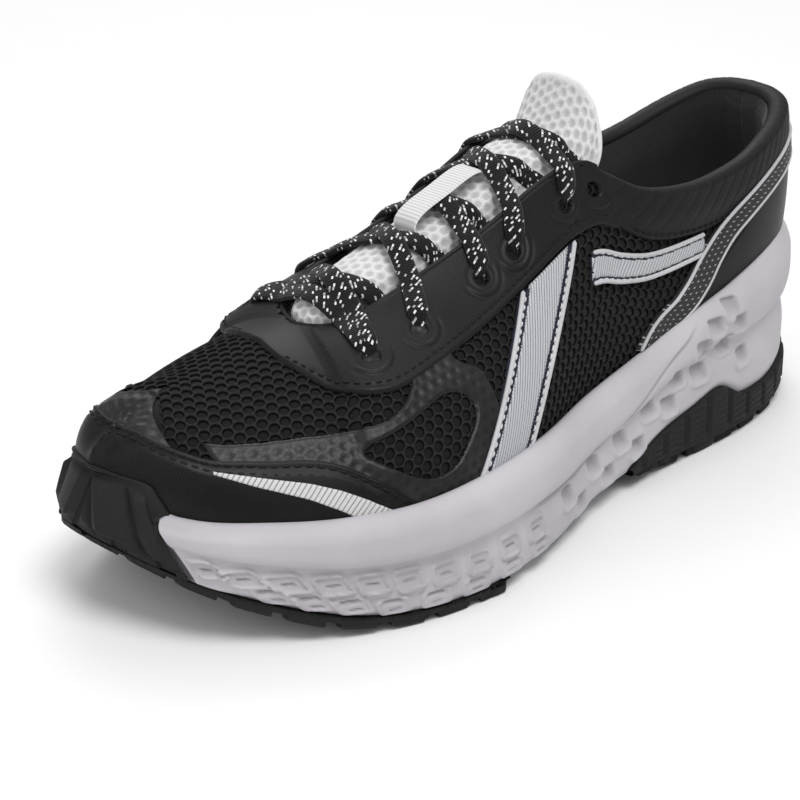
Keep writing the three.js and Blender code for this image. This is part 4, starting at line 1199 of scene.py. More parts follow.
def throat_binding():
    """The eyestay's folded edge along the throat."""
    rnd = np.linspace(0.462, THROAT_FRONT + 0.004, 90)
    paths = [run_of(np.stack([wrap_of(rnd, side), np.full_like(rnd, 0.998)], -1))
             for side in (-1, 1)]
    bead("throat_binding", paths, EYESTAY, "panel", 0.95, 0.15)


def saddle_edges(side):
    """The band's rear and front edges, from the sole up to the eyestay."""
    up = np.linspace(0, 1, 30)
    rear, front = mix(0.56, 0.5, up), mix(0.625, 0.555, up)
    def rises(rnd):
        wrap = wrap_of(rnd, side)
        start = rim_rise(wrap) - 0.04
        return start + (eyestay_low(rnd) - 0.005 - start) * up
    return np.stack([rear, rises(rear)], -1), np.stack([front, rises(front)], -1)


def framed_band(name, side, rear, front):
    """A hatched band in a dark border, with pale piping along its long edges."""
    if side > 0:
        rear, front = mirror(rear), mirror(front)
    edge = np.concatenate([rear, front[::-1]])
    chart_panel(f"{name}_border", edge, BORDER, "band", thick=0.9, step=0.8, soft=0.9,
                replaces=[name])
    inner_rear, inner_front = mix(rear, front, 0.17), mix(rear, front, 0.83)
    inner = np.concatenate([inner_rear, inner_front[::-1]])
    chart_panel(f"{name}_fill", inner, BAND, "band", thick=1.3, sink=-0.3, step=0.7, soft=0.6,
                hidden_under=False)
    rails = [run_of(mix(rear, front, share)) for share in (0.06, 0.94)]
    bead(f"{name}_piping", rails, PIPING, "band", 0.75, 1.0)
    seams = [run_of(mix(rear, front, share)) for share in (0.115, 0.885)]
    stitched(f"{name}_stitches", seams, THREAD_PALE, "band", 1.0)


def run_of(places):
    """A path read at shares 0 to 1 through (wrap, rise) places."""
    share = np.linspace(0, 1, len(places))
    return lambda t: np.stack([np.interp(t, share, places[:, 0]),
                               np.interp(t, share, places[:, 1])], -1)


def bead(name, paths, material, slot, radius, lift, step=0.8):
    """A round cord laid on the upper along paths."""
    parts = []
    for path in paths:
        spots = path(np.linspace(0, 1, 300))
        run = arc_lengths(upper_at(spots[:, 0], spots[:, 1]), 0)
        count = max(int(run[-1] / step), 4)
        at = np.linspace(0, run[-1], count)
        wrap, rise = np.interp(at, run, spots[:, 0]), np.interp(at, run, spots[:, 1])
        centre, normal = lifted(wrap, rise, lift), upper_normal(wrap, rise)
        ahead = unit(np.gradient(centre, axis=0))
        side = unit(np.cross(normal, ahead))
        turn = np.linspace(0, 2 * np.pi, 10, endpoint=False)
        slim = radius * np.where((np.arange(count) == 0) | (np.arange(count) == count - 1), 0.2, 1)
        c, s = np.cos(turn)[None, :, None], np.sin(turn)[None, :, None]
        ring = centre[:, None] + slim[:, None, None] * (c * side[:, None] + s * normal[:, None])
        values = {"along": np.repeat(at, 10), "across": np.tile(turn, count)}
        parts.append((ring.reshape(-1, 3), grid_faces(count, 10, closed=True), values))
    points, faces, values = merge(parts)
    return make(name, points, faces[:, ::-1], material, slot, **values)


def stitched(name, paths, material, slot, lift, **sizes):
    points, faces, values = stitches(paths, lift, **sizes)
    return make(name, points, faces, material, slot, **values)


def saddles():
    for word, side in SIDES:
        rear, front = saddle_edges(side)
        framed_band(f"saddle_{word}", side, rear, front)


def quarter_bands():
    for word, side in SIDES:
        rnd = np.linspace(0.34, 0.485, 24)
        low = mix(0.6, 0.56, (rnd - 0.34) / 0.145)
        framed_band(f"quarter_band_{word}", side, np.stack([rnd, low], -1),
                    np.stack([rnd, low + 0.13], -1))


COLLAR_LOW = table(
    "round low", (0, 0.84), (0.1, 0.83), (0.2, 0.78), (0.28, 0.74), (0.36, 0.74),
    (0.42, 0.78), (0.46, 0.82), (0.5, 0.86),
)
collar_low = curve(COLLAR_LOW, "round", "low")
COLLAR_END = 0.462
COLLAR_PAD = 5.0


def pad_depth(rnd, rise):
    up = (rise - 0.5) / 0.5
    full = smooth(up, 0, 0.7) * (1 - 0.55 * smooth(up, 0.8, 1))
    fade = 1 - smooth(rnd, 0.355, 0.455)
    return WALL + GAP + COLLAR_PAD * mix(0.25, 1, full * fade)


def collar():
    """The padded collar outside, rolling over the free edge to meet the lining."""
    wrap = np.linspace(-COLLAR_END, COLLAR_END, 420)
    rnd = fold(wrap)[0]
    ends = edge_round((COLLAR_END - np.abs(wrap)) * 500, 5.0)
    low = collar_low(rnd)
    up = np.linspace(0, 1, 30)
    rise = mix(low[:, None], 0.985, up[None, :])
    points = upper_at(wrap[:, None], rise)
    across = arc_lengths(points, 1)
    groove = smooth(np.sin((wrap[:, None] * 300 + 0.9 * across) * 2 * np.pi / 5.5), 0.86, 1.0)
    puff = 0.9 * smooth(across, 1.5, 9) * (1 - 0.3 * up[None, :])
    lift = -0.5 + (1.4 + puff) * edge_round(across, 1.2) - 0.25 * groove * smooth(across, 3, 5)
    lift = mix(-0.5, lift, ends[:, None])
    outer = points + upper_normal(wrap[:, None], rise) * lift[..., None]
    cover(points, across)
    deep = pad_depth(rnd, 1.0)
    turn = np.linspace(0, np.pi, 13)[1:]
    top = lift[:, -1]
    middle, half = (top - deep) / 2, (top + deep) / 2
    edge_point, normal = upper_at(wrap, 0.985), upper_normal(wrap, 0.985)
    up_way = unit(upper_at(wrap, 1.0) - upper_at(wrap, 0.96))
    reach = middle[:, None] + half[:, None] * np.cos(turn)
    roll = (edge_point[:, None] + normal[:, None] * reach[..., None]
            + up_way[:, None] * (0.75 * half[:, None] * np.sin(turn))[..., None])
    points = np.concatenate([outer, roll], 1)
    faces = grid_faces(*points.shape[:2])
    faces = facing(faces, outer, grid_faces(*outer.shape[:2]), upper_normal(wrap[:, None], rise))
    run = arc_lengths(points, 1)
    values = {"along": np.broadcast_to(wrap[:, None] * 300, run.shape).reshape(-1, 1),
              "across": run.reshape(-1, 1)}
    make("collar", points, faces, COLLAR, "panel", padded=0.7, **values)
    rise = np.linspace(0.985, 0.42, 36)
    deep = pad_depth(rnd[:, None], np.maximum(rise, 0.5)[None, :])
    deep = mix(WALL, deep, smooth(rise, 0.42, 0.5)[None, :])
    inner = upper_at(wrap[:, None], rise[None, :]) - upper_normal(
        wrap[:, None], rise[None, :]) * deep[..., None]
    faces = grid_faces(*inner.shape[:2])
    faces = facing(faces, inner, faces, -upper_normal(wrap[:, None], rise[None, :]))
    make("collar_padding", inner, faces, LINING, "lining", ["collar_lining"], padded=0.7)


def heel_counter():
    def low(t):
        wrap = mix(-0.4, 0.4, t)
        return np.stack([wrap, rim_rise(wrap) - 0.04], -1)

    def high(t):
        wrap = mix(-0.4, 0.4, t)
        rnd = np.abs(wrap)
        top = np.interp(rnd, [0, 0.2, 0.25, 0.3, 0.35, 0.4], [0.85, 0.82, 0.78, 0.62, 0.42, 0.2])
        return np.stack([wrap, np.maximum(top, rim_rise(wrap) + 0.03)], -1)

    def grooves(wrap, rise, along, across, far):
        return -0.3 * np.exp(-((far - 2.8) / 0.5)**2)

    panel("heel_counter_panel", low, high, SYNTHETIC, "panel", thick=1.1, step=1.0, soft=1.2,
          relief=grooves, replaces=["heel_counter"])


STRAP_SPAN = np.array((300.0, 75.0))
STRAP_PATH = ((0.385, 0.29), (0.366, 0.345), (0.350, 0.43), (0.332, 0.56), (0.305, 0.68),
              (0.27, 0.75))


def heel_strap():
    """A dotted strap from the sole on one side, round the heel, to the sole on the other."""
    rails = []
    for sign in (1, -1):
        halves = []
        for side in (-1, 1):
            start = (0.40, float(rim_rise(wrap_of(0.40, side))) - 0.03)
            places = (start, *STRAP_PATH, (0.2, 0.8), (0.1, 0.822), (0.0, 0.828))
            middle = path_curve(*places)(np.linspace(0, 1, 60))
            ahead = np.gradient(middle * STRAP_SPAN, axis=0)
            ahead[-1] = (-1, 0)
            ahead /= np.linalg.norm(ahead, axis=1, keepdims=True)
            across = np.stack([-ahead[:, 1], ahead[:, 0]], -1) / STRAP_SPAN
            half = 6.0 * (1 - 0.35 * np.linspace(0, 1, 60))[:, None]
            rail = middle + sign * across * half
            rail[:, 0] *= -side
            halves.append(rail)
        rails.append(np.concatenate([halves[0], halves[1][::-1][1:]]))
    panel("heel_strap", run_of(rails[0]), run_of(rails[1]), STRAP, "panel",
          thick=2.0, sink=0.0, step=0.9, soft=1.0)
    bead("heel_strap_piping", [run_of(mix(*rails, share)) for share in (0.04, 0.96)],
         PIPING, "band", 0.6, 1.7)


def upper_stitches():
    wrap = np.linspace(0.675, 1.325, 240)
    top = cap_top(fold(wrap)[0])
    rows = [run_of(np.stack([wrap, top - back], -1)) for back in (0.03, 0.0674)]
    stitched("toe_cap_stitches", rows, THREAD_DARK, "panel", 0.85, long=2.6, gap=0.7, wide=0.4,
             proud=0.25)
    rows = []
    for side in (-1, 1):
        rnd = np.linspace(0.46, 0.755, 90)
        rise = eyestay_low(rnd) + 0.045
        rows.append(run_of(np.stack([wrap_of(rnd, side), rise], -1)))
    stitched("eyestay_stitches", rows, THREAD_DARK, "panel", 1.0, long=2.2, gap=0.9)
    wrap = np.linspace(-0.44, 0.44, 200)
    rise = collar_low(np.abs(wrap)) + 0.03
    stitched("collar_stitches", [run_of(np.stack([wrap, rise], -1))], THREAD_DARK, "panel", 1.1)


def toe_stripes():
    """The pale tapering stripe low on the toe cap."""
    for word, side in SIDES:
        top = np.array([(.842, .392), (.796, .333), (.758, .287), (.735, .245), (.712, .19),
                        (.69, .125)])
        low = np.array([(.842, .372), (.804, .295), (.762, .222), (.738, .165), (.719, .11),
                        (.70, .055)])
        share = np.linspace(0, 1, 40)
        top, low = run_of(top)(share), run_of(low)(share)
        for path in (top, low):
            limit = rim_rise(wrap_of(path[:, 0], side)) - 0.02
            path[:, 1] = np.maximum(path[:, 1], limit)
            path[:, 0] = wrap_of(path[:, 0], side)
        panel(f"toe_stripe_{word}", run_of(low), run_of(top), TOE_HATCH, "band", thick=1.55,
              sink=-0.6, step=0.8, soft=0.5)


# ---- The tongue and the lace

WING = table("round reach", (0.475, 0.1), (0.56, 0.2), (0.665, 0.27), (0.715, 0.33), (0.75, 0.34))
wing_at = curve(WING, "round", "reach")
EDGE_SHARE = 0.55


def throat_roof(rnd, across, wing):
    """Point, normal and openness over the throat; across runs from -1 outside to 1 inside."""
    rnd, across, wing = np.broadcast_arrays(
        np.asarray(rnd, float), np.asarray(across, float), np.asarray(wing, float))
    wrap = np.where(across < 0, rnd, 2 - rnd)
    down = np.clip((np.abs(across) - EDGE_SHARE) / (1 - EDGE_SHARE), 0, 1)
    rise = 1 - wing * down
    flat, flat_normal = upper_at(wrap, rise), upper_normal(wrap, rise)
    left, right = upper_at(rnd, 1.0), upper_at(2 - rnd, 1.0)
    t = np.clip((across / EDGE_SHARE + 1) / 2, 0, 1)
    span = np.linalg.norm(right - left, axis=-1)
    arch = 4 * t * (1 - t)
    point = mix(left, right, t[..., None])
    point[..., 2] += CROWN * span / (0.6 * COLLAR_WIDTH) * arch
    normal = unit(mix(upper_normal(rnd, 1.0), upper_normal(2 - rnd, 1.0), t[..., None]))
    on_wing = (np.abs(across) > EDGE_SHARE)[..., None]
    return (np.where(on_wing, flat, point), np.where(on_wing, flat_normal, normal),
            np.where(on_wing[..., 0], 0, smooth(arch, 0, 0.8)), span)


TONGUE_FRONT = 0.745


def tongue():
    rnd = np.concatenate([np.linspace(TONGUE_FRONT, 0.60, 90),
                          np.linspace(0.60, THROAT_TOP, 105)[1:]])
    across = np.sign(np.linspace(-1, 1, 121)) * np.abs(np.linspace(-1, 1, 121))**0.9
    point, normal, open_, span = throat_roof(rnd[:, None], across[None, :], wing_at(rnd)[:, None])
    sunk = -(WALL + 2.4) * (1 - open_ * smooth(span, 0, COLLAR_WIDTH / 3))
    outer = point + normal * (sunk - 0.3)[..., None]
    under = outer - normal * (TONGUE - 0.6)
    base_outer, base_under = outer[-1], under[-1]
    middle = np.concatenate([base_outer, base_under]).mean(0)
    tops, lows = [], []
    for t in np.linspace(0, 1, 34)[1:]:
        shift = TONGUE_TOP * t * np.array([math.cos(0.9 * t) * 0.75, 0, mix(0.35, 0.9, t)])
        scale = np.array([1, 1 - 0.16 * t - 0.1 * t**4, 1 - 0.25 * t])
        round_off = np.sqrt(max(1 - (max(t - 0.82, 0) / 0.18)**2, 0.0))
        round_off *= 1 + 1.8 * smooth(t, 0.0, 0.7)
        top = (base_outer - middle) * scale + middle + shift
        low = (base_under - middle) * scale + middle + shift
        centre = (top + low) / 2
        tops.append(centre + (top - centre) * round_off)
        lows.append(centre + (low - centre) * round_off)
    outer = np.concatenate([outer, np.array(tops)])
    under = np.concatenate([under, np.array(lows)])
    along, wide = arc_lengths(outer, 0), arc_lengths(outer, 1)
    wide = wide - wide[:, 60:61]
    near = hole_distance(along[:, 60:61] + 0 * wide, wide)
    dent = 1 - smooth(near, 1.0, 1.65)
    ways = unit(np.cross(np.gradient(outer, axis=0), np.gradient(outer, axis=1)))
    if np.sum(ways[60, 60] * normal[60, 60]) < 0:
        ways = -ways
    edge = np.minimum(np.abs(wide - wide[:, :1]), np.abs(wide[:, -1:] - wide))
    end = along[-1, 60] - along
    calm = smooth(edge, 1.5, 4) * smooth(end, 3, 5)
    outer = outer - ways * (0.45 * dent * calm)[..., None]
    ring = np.concatenate([outer, under[:, ::-1]], 1)
    faces = grid_faces(*ring.shape[:2], closed=True)
    faces = facing(faces, outer, grid_faces(*outer.shape[:2]), ways)
    dents = np.concatenate([dent * calm, 0 * dent], 1)
    return make("tongue_cloth", ring, faces, TONGUE_CLOTH, "tongue", ["tongue"], padded=0.6,
                dent=dents.reshape(-1, 1))


def settle(values, count):
    """Smooths a path while its ends stay in place."""
    for _ in range(count):
        inner = (values[:-2] + 2 * values[1:-1] + values[2:]) / 4
        values = np.concatenate([values[:1], inner, values[-1:]])
    return values


def lace_run(first, last, start_side, over, both_on_top=False):
    """A flat lace from an eyelet on one side to an eyelet on the other.

    It comes up through the first eyelet, crosses the throat and, unless both ends lie on
    top, passes under the far eyestay to come up through the last eyelet.
    """
    t = np.linspace(0, 1, 260)
    rnd, rise = mix(first[0], last[0], t), mix(first[1], last[1], t)
    across = start_side * (1 - 2 * t)
    point, normal, _, _ = throat_roof(rnd, across, 1 - rise)
    point, normal = settle(point, 60), unit(settle(normal, 60))
    run = arc_lengths(point, 0)
    long = run[-1]
    at = np.linspace(0, long, int(long / 0.5))
    point = np.stack([np.interp(at, run, point[:, k]) for k in range(3)], -1)
    normal = unit(np.stack([np.interp(at, run, normal[:, k]) for k in range(3)], -1))
    edge = np.interp(np.linspace(0, 1, len(at)), t, np.abs(across))
    on_top = 1.15 + LACE_THICKNESS / 2 + 0.1
    middle = LACE_THICKNESS / 2 + 0.35
    lift = mix(on_top, middle, smooth(at, 9, 17))
    dip = smooth(at, 0, 4.2)
    lift = mix(-WALL - 1.2, lift, dip)
    left = long - at
    if both_on_top:
        lift = np.where(at > long / 2, mix(on_top, middle, smooth(left, 9, 17)), lift)
        lift = mix(-WALL - 1.2, lift, smooth(left, 0, 4.2))
    else:
        far_edge = left[np.argmax((edge > EDGE_SHARE) & (at > long / 2))]
        down = 1 - smooth(left, far_edge - 0.5, far_edge + 6.5)
        lift = mix(lift, -WALL - LACE_THICKNESS / 2 - 0.35, down)
    lift = lift + over * (LACE_THICKNESS + 0.15) * np.exp(-((at - long / 2) / 6.5)**2)
    wide = LACE_WIDTH * (1 - 0.42 * (1 - smooth(at, 0, 6.5)))
    thick = LACE_THICKNESS * (1 + 0.35 * (1 - smooth(at, 0, 5)))
    if both_on_top:
        wide = wide * (1 - 0.42 * (1 - smooth(left, 0, 6.5)))
    lift = np.convolve(np.pad(lift, 4, mode="edge"), np.ones(9) / 9, "valid")
    centre = point + normal * lift[:, None]
    ahead = unit(np.gradient(centre, axis=0))
    side = unit(np.cross(ahead, normal))
    up = np.cross(side, ahead)
    turn = np.linspace(0, 2 * np.pi, 24, endpoint=False)
    c, s = np.cos(turn), np.sin(turn)
    across_shape = np.sign(c) * np.abs(c)**0.72
    up_shape = np.sign(s) * np.abs(s)**0.8
    ring_v = wide[:, None] / 2 * across_shape
    weave = 0.09 * np.sin((at[:, None] + ring_v) * 2 * np.pi / 2.3) * np.sin(
        (at[:, None] - ring_v) * 2 * np.pi / 2.3)
    ring = (centre[:, None] + side[:, None] * ring_v[..., None]
            + up[:, None] * (thick[:, None] / 2 * up_shape + weave * np.sign(s))[..., None])
    faces = grid_faces(len(at), 24, closed=True)
    shift = 37.0 * first[0] + 11.0 * start_side
    values = {"along": (at[:, None] + shift + 0 * ring_v).reshape(-1, 1),
              "across": (ring_v + 50).reshape(-1, 1)}
    return ring.reshape(-1, 3), faces, values


def lace():
    runs = [lace_run(EYELETS[0], EYELETS[0], -1, 0.35, both_on_top=True)]
    for first, last in zip(EYELETS, EYELETS[1:]):
        runs.append(lace_run(first, last, -1, 1.0))
        runs.append(lace_run(first, last, 1, 0.0))
    points, faces, values = merge(runs)
    return make("lace_braid", points, faces[:, ::-1], LACE, "lace", ["lace"], **values)


def keeper():
    """A webbing loop on the tongue that the upper crossings pass under."""
    half, t = 5.0, np.linspace(0, 1, 70)
    rnd = mix(0.592, 0.532, t)
    j = np.linspace(-1, 1, 17)
    middle, normal, _, _ = throat_roof(rnd, 0 * rnd, 0.2)
    run = arc_lengths(middle, 0)
    rise = 4.6 * np.sqrt(np.maximum(1 - (2 * t - 1)**4, 0)) + 0.1
    points = (middle[:, None] + normal[:, None] * rise[:, None, None]
              + np.array([0, 1, 0]) * (half * j)[None, :, None])
    slim = 0.55 * edge_round(half * (1 - np.abs(j)), 0.6)
    top = points + normal[:, None] * slim[None, :, None]
    low = points - normal[:, None] * slim[None, :, None]
    ring = np.concatenate([top, low[:, ::-1]], 1)
    faces = grid_faces(*ring.shape[:2], closed=True)
    faces = facing(faces, top, grid_faces(*top.shape[:2]), normal[:, None] + 0 * top)
    values = {"along": np.broadcast_to(run[:, None], ring.shape[:2]).reshape(-1, 1)}
    return make("lace_keeper", ring, faces, WEBBING, "tongue", **values)


# ---- The sole

UPPER_CELLS = ((.858, .33), (.822, .29), (.785, .32), (.75, .35), (.719, .36), (.690, .35),
               (.66, .33), (.630, .31), (.600, .32), (.570, .32))
LOWER_CELLS = ((.796, .12), (.765, .12), (.735, .12), (.703, .10), (.668, .10), (.633, .09),
               (.598, .10), (.565, .11))
HEEL_POCKETS = ((.312, .88), (.335, .79), (.300, .68), (.350, .64), (.318, .50), (.285, .34),
                (.378, .50), (.350, .36), (.413, .44), (.388, .26), (.448, .38), (.428, .17),
                (.485, .36), (.466, .15), (.525, .34), (.505, .13))
GROOVE_LINE = table(
    "round up", (.354, .96), (.369, .86), (.396, .78), (.431, .62), (.477, .50), (.515, .48),
    (.56, .5),
)
_fine = np.linspace(0, 2, 4001)
_s, _y = outline(_fine)
_run = np.concatenate([[0], np.cumsum(np.hypot(np.diff(_s), np.diff(_y)))])


def run_at(wrap):
    """Distance round the sole's outline from the heel, in millimetres."""
    turns = np.floor(np.asarray(wrap, float) / 2)
    return np.interp(np.mod(wrap, 2.0), _fine, _run) + turns * _run[-1]


def lean_at(rnd, up):
    near = np.maximum(0, 1 - np.abs(rnd - BUMPER_SEAM) / SEAM_REACH)
    return rnd + (up - 0.5) * SEAM_LEAN * near


def heel_climb(rnd):
    climb = np.maximum(climb_at(along_at(rnd)), 3 * GAP)
    return climb * (1 - smooth(rnd, HEEL_RUBBER_END - 0.004, HEEL_RUBBER_END))


def side_height(rnd, up):
    at = lean_at(rnd, up)
    share = along_at(at)
    return mix(under_at(share) + heel_climb(rnd), rim_at(share), up)


def foam_side(wrap, up, push):
    rnd, side = fold(wrap)
    at = lean_at(rnd, up)
    wrap = np.where(side < 0, at, 2 - at)
    high = side_height(rnd, up)
    flush = np.where(up < 0.575, 1.0, step_in(up))
    front = mix(step_in(up), flush, smooth(rnd, 0.8, 0.872))
    behind = bumper_depth(rnd, high) + 2.4
    depth = mix(front, behind, smooth(rnd, BUMPER_SEAM, BUMPER_SEAM + 0.004)) - push
    s, y = inset(wrap, depth)
    return place(s, y, high)


def box_distance(x, y, half_x, half_y, corner):
    """Distance from a rounded box's edge, negative inside."""
    a, b = np.abs(x) - half_x + corner, np.abs(y) - half_y + corner
    return np.hypot(np.maximum(a, 0), np.maximum(b, 0)) + np.minimum(np.maximum(a, b), 0) - corner


def foam_relief(wrap, up):
    """Push of the foam's side from its moulded cells, and the painted shade darkening their slits
    and pits and the groove.
    """
    rnd, side = fold(wrap)
    push, hollow_shade = np.zeros(up.shape), np.zeros(up.shape)
    run, high = run_at(np.where(side < 0, wrap, 2 - wrap)), side_height(rnd, up)
    def local(cell, slanted=True):
        """Place from a cell's middle, leaned with it, what is near and its share of front."""
        x = run - run_at(cell[0])
        y = high - side_height(np.array(cell[0]), np.array(cell[1]))
        near = np.abs(x) < 13
        front = smooth(np.array(cell[0]), 0.64, 0.85)
        return (x - mix(0.12, 1.1, front) * y if slanted else x), y, near, front

    def line(x, y, half_x, half_y, corner, reach):
        return smooth(-box_distance(x, y, half_x, half_y, corner), *reach)

    for cell in UPPER_CELLS:
        x, y, near, front = local(cell)
        d = box_distance(x, y, mix(4.3, 5.2, front), mix(3.4, 2.7, front), 1.5)
        frame = smooth(-np.abs(d + 0.2), -0.75, -0.15)
        pit = smooth(-d, 0.5, 1.2)
        slit = line(x, y + 0.3, 2.0, 0.4, 0.3, (-0.25, 0.3))
        push += near * (1.25 * frame + 0.1 * pit - 0.9 * slit)
        hollow_shade = np.maximum(hollow_shade, near * np.maximum(0.55 * slit, 0.16 * pit))
    for cell in LOWER_CELLS:
        x, y, near, front = local(cell)
        d = box_distance(x, y, 5.0, 2.6, 1.2)
        pad = smooth(-d, 0.0, 0.9)
        slot = line(x, y - 2.0, 3.0, 0.55, 0.5, (-0.3, 0.4))
        slit = line(x, y + 1.0, 1.9, 0.35, 0.3, (-0.25, 0.3))
        rim = smooth(-np.abs(d + 0.2), -0.75, -0.15)
        push += near * (0.4 * pad + 0.9 * rim - 1.2 * slot - 0.8 * slit)
        hollow_shade = np.maximum(hollow_shade, near * np.maximum(0.5 * slot, 0.45 * slit))
    for cell in HEEL_POCKETS:
        x, y, near, _ = local(cell, slanted=False)
        d = box_distance(x - 0.12 * y, y, 4.0, 3.5, 1.6)
        pit = smooth(-d, -0.1, 1.1) * smooth(y - 0.35 * x, -4.2, 2.0)
        lip = smooth(-np.abs(d - 0.7), -1.2, -0.2) * smooth(-y, -0.5, 2.5)
        push += near * (-2.1 * pit + 0.7 * lip)
        hollow_shade = np.maximum(hollow_shade, near * 0.5 * pit)
    steep = np.gradient(GROOVE_LINE["up"], GROOVE_LINE["round"]).mean() * 0.02
    course = side_height(rnd, np.interp(rnd, GROOVE_LINE["round"], GROOVE_LINE["up"]))
    away = (high - course) / np.hypot(1.0, steep)
    within = smooth(rnd, 0.35, 0.37) * (1 - smooth(rnd, 0.55, 0.58))
    groove = within * np.exp(-(away / 0.6)**2)
    push -= 0.9 * groove
    hollow_shade = np.maximum(hollow_shade, 0.5 * groove)
    front = 1 - smooth(rnd, BUMPER_SEAM - 0.012, BUMPER_SEAM - 0.002)
    return push * front, hollow_shade * front


def midsole():
    count = 920
    wrap = np.unique(np.concatenate([
        np.interp(np.linspace(0, _run[-1], count), _run, _fine),
        BUMPER_SEAM + np.array([0, 0.0015, 0.004]), 2 - BUMPER_SEAM - np.array([0, 0.0015, 0.004]),
        HEEL_RUBBER_END + np.array([-.004, -.002, 0]),
        2 - HEEL_RUBBER_END - np.array([-.004, -.002, 0])]))
    wrap = wrap[:-1] if wrap[-1] >= 2 else wrap
    up = np.unique(np.concatenate([np.linspace(0, 1, 52), [0.545, 0.56, 0.575]]))
    rnd = fold(wrap)[0]
    grid_w, grid_u = np.broadcast_arrays(wrap[:, None], up[None, :])
    push, hollow_shade = foam_relief(grid_w, grid_u)
    wall = foam_side(grid_w, grid_u, push)
    s, y = inset(wrap, FLANGE + 2 * GAP)
    share = s / LENGTH
    foot = np.stack([place(s, y, under_at(share)),
                     place(s, y, under_at(share) + heel_climb(rnd))], 1)
    out_s, out_y = outward(wrap)
    rim = rim_rise(wrap)
    top = wall[:, -1]
    inner = []
    for t in (1.0, 0.75, 0.5, 0.25, 0.0):
        point = upper_at(wrap, rim * t)
        point[:, 0] -= 0.5 * GAP * out_s
        point[:, 1] += 0.5 * GAP * out_y
        inner.append(point)
    roll = []
    for t in (0.25, 0.5, 0.75):
        point = mix(top, inner[0], t)
        point[:, 2] += 0.9 * 4 * t * (1 - t)
        roll.append(point)
    rows = np.concatenate([foot, wall, np.stack(roll, 1), np.stack(inner, 1)], 1)
    # Painted shade for the wall's slits, pits and groove; none on the other rows.
    hollow_shades = np.zeros(rows.shape[:2])
    hollow_shades[:, 2:2 + len(up)] = hollow_shade
    n = len(wrap)
    loop = np.concatenate([rows, rows[:1]], 0)
    hollow_shades = np.concatenate([hollow_shades, hollow_shades[:1]], 0)
    faces = grid_faces(n + 1, rows.shape[1])
    normal = np.zeros(loop.shape)
    nx, ny = -out_s, out_y
    normal[:n, :, 0] = nx[:, None]
    normal[:n, :, 1] = ny[:, None]
    wall_faces = faces[(faces[:, 0] % rows.shape[1] > 3) & (faces[:, 0] % rows.shape[1] < len(up))]
    faces = facing(faces, loop, wall_faces, normal)
    parts = [(loop.reshape(-1, 3), faces, {"hollow_shade": hollow_shades.reshape(-1, 1)})]
    parts += [cross_fill(turned) for turned in (False, True)]
    points, faces, values = merge(parts)
    return make("midsole_foam", points, faces, FOAM, "foam", ["midsole"], **values)


def cross_fill(turned):
    """The foam's bed or underside, from side to side."""
    rnd = np.linspace(0, 1, 160)
    if turned:
        s0, y0 = inset(rnd, FLANGE + 2 * GAP)
        s1, y1 = inset(2 - rnd, FLANGE + 2 * GAP)
        left, right = place(s0, y0, 0 * s0), place(s1, y1, 0 * s1)
    else:
        left, right = upper_at(rnd, 0.0), upper_at(2 - rnd, 0.0)
    t = np.linspace(0, 1, 30)
    points = mix(left[:, None], right[:, None], t[None, :, None])
    share = (LENGTH / 2 - points[..., 0]) / LENGTH
    points[..., 2] = under_at(share) if turned else bed_at(share)
    faces = grid_faces(160, 30)
    up = np.zeros(points.shape)
    up[..., 2] = -1 if turned else 1
    faces = facing(faces, points, faces, up)
    return points.reshape(-1, 3), faces, {"hollow_shade": np.zeros(points.shape[0] * points.shape[1])}


def lug_depth(share):
    return np.minimum(LUG, 0.6 * (under_at(share) - tread_at(share)))


def bumper_depth(rnd, z):
    """How far inside the outline the bumper's face is: it leans in over the toe."""
    return 1.6 + BUMPER_LEAN * np.maximum(z - rim_at(along_at(rnd)) + 6, 0)


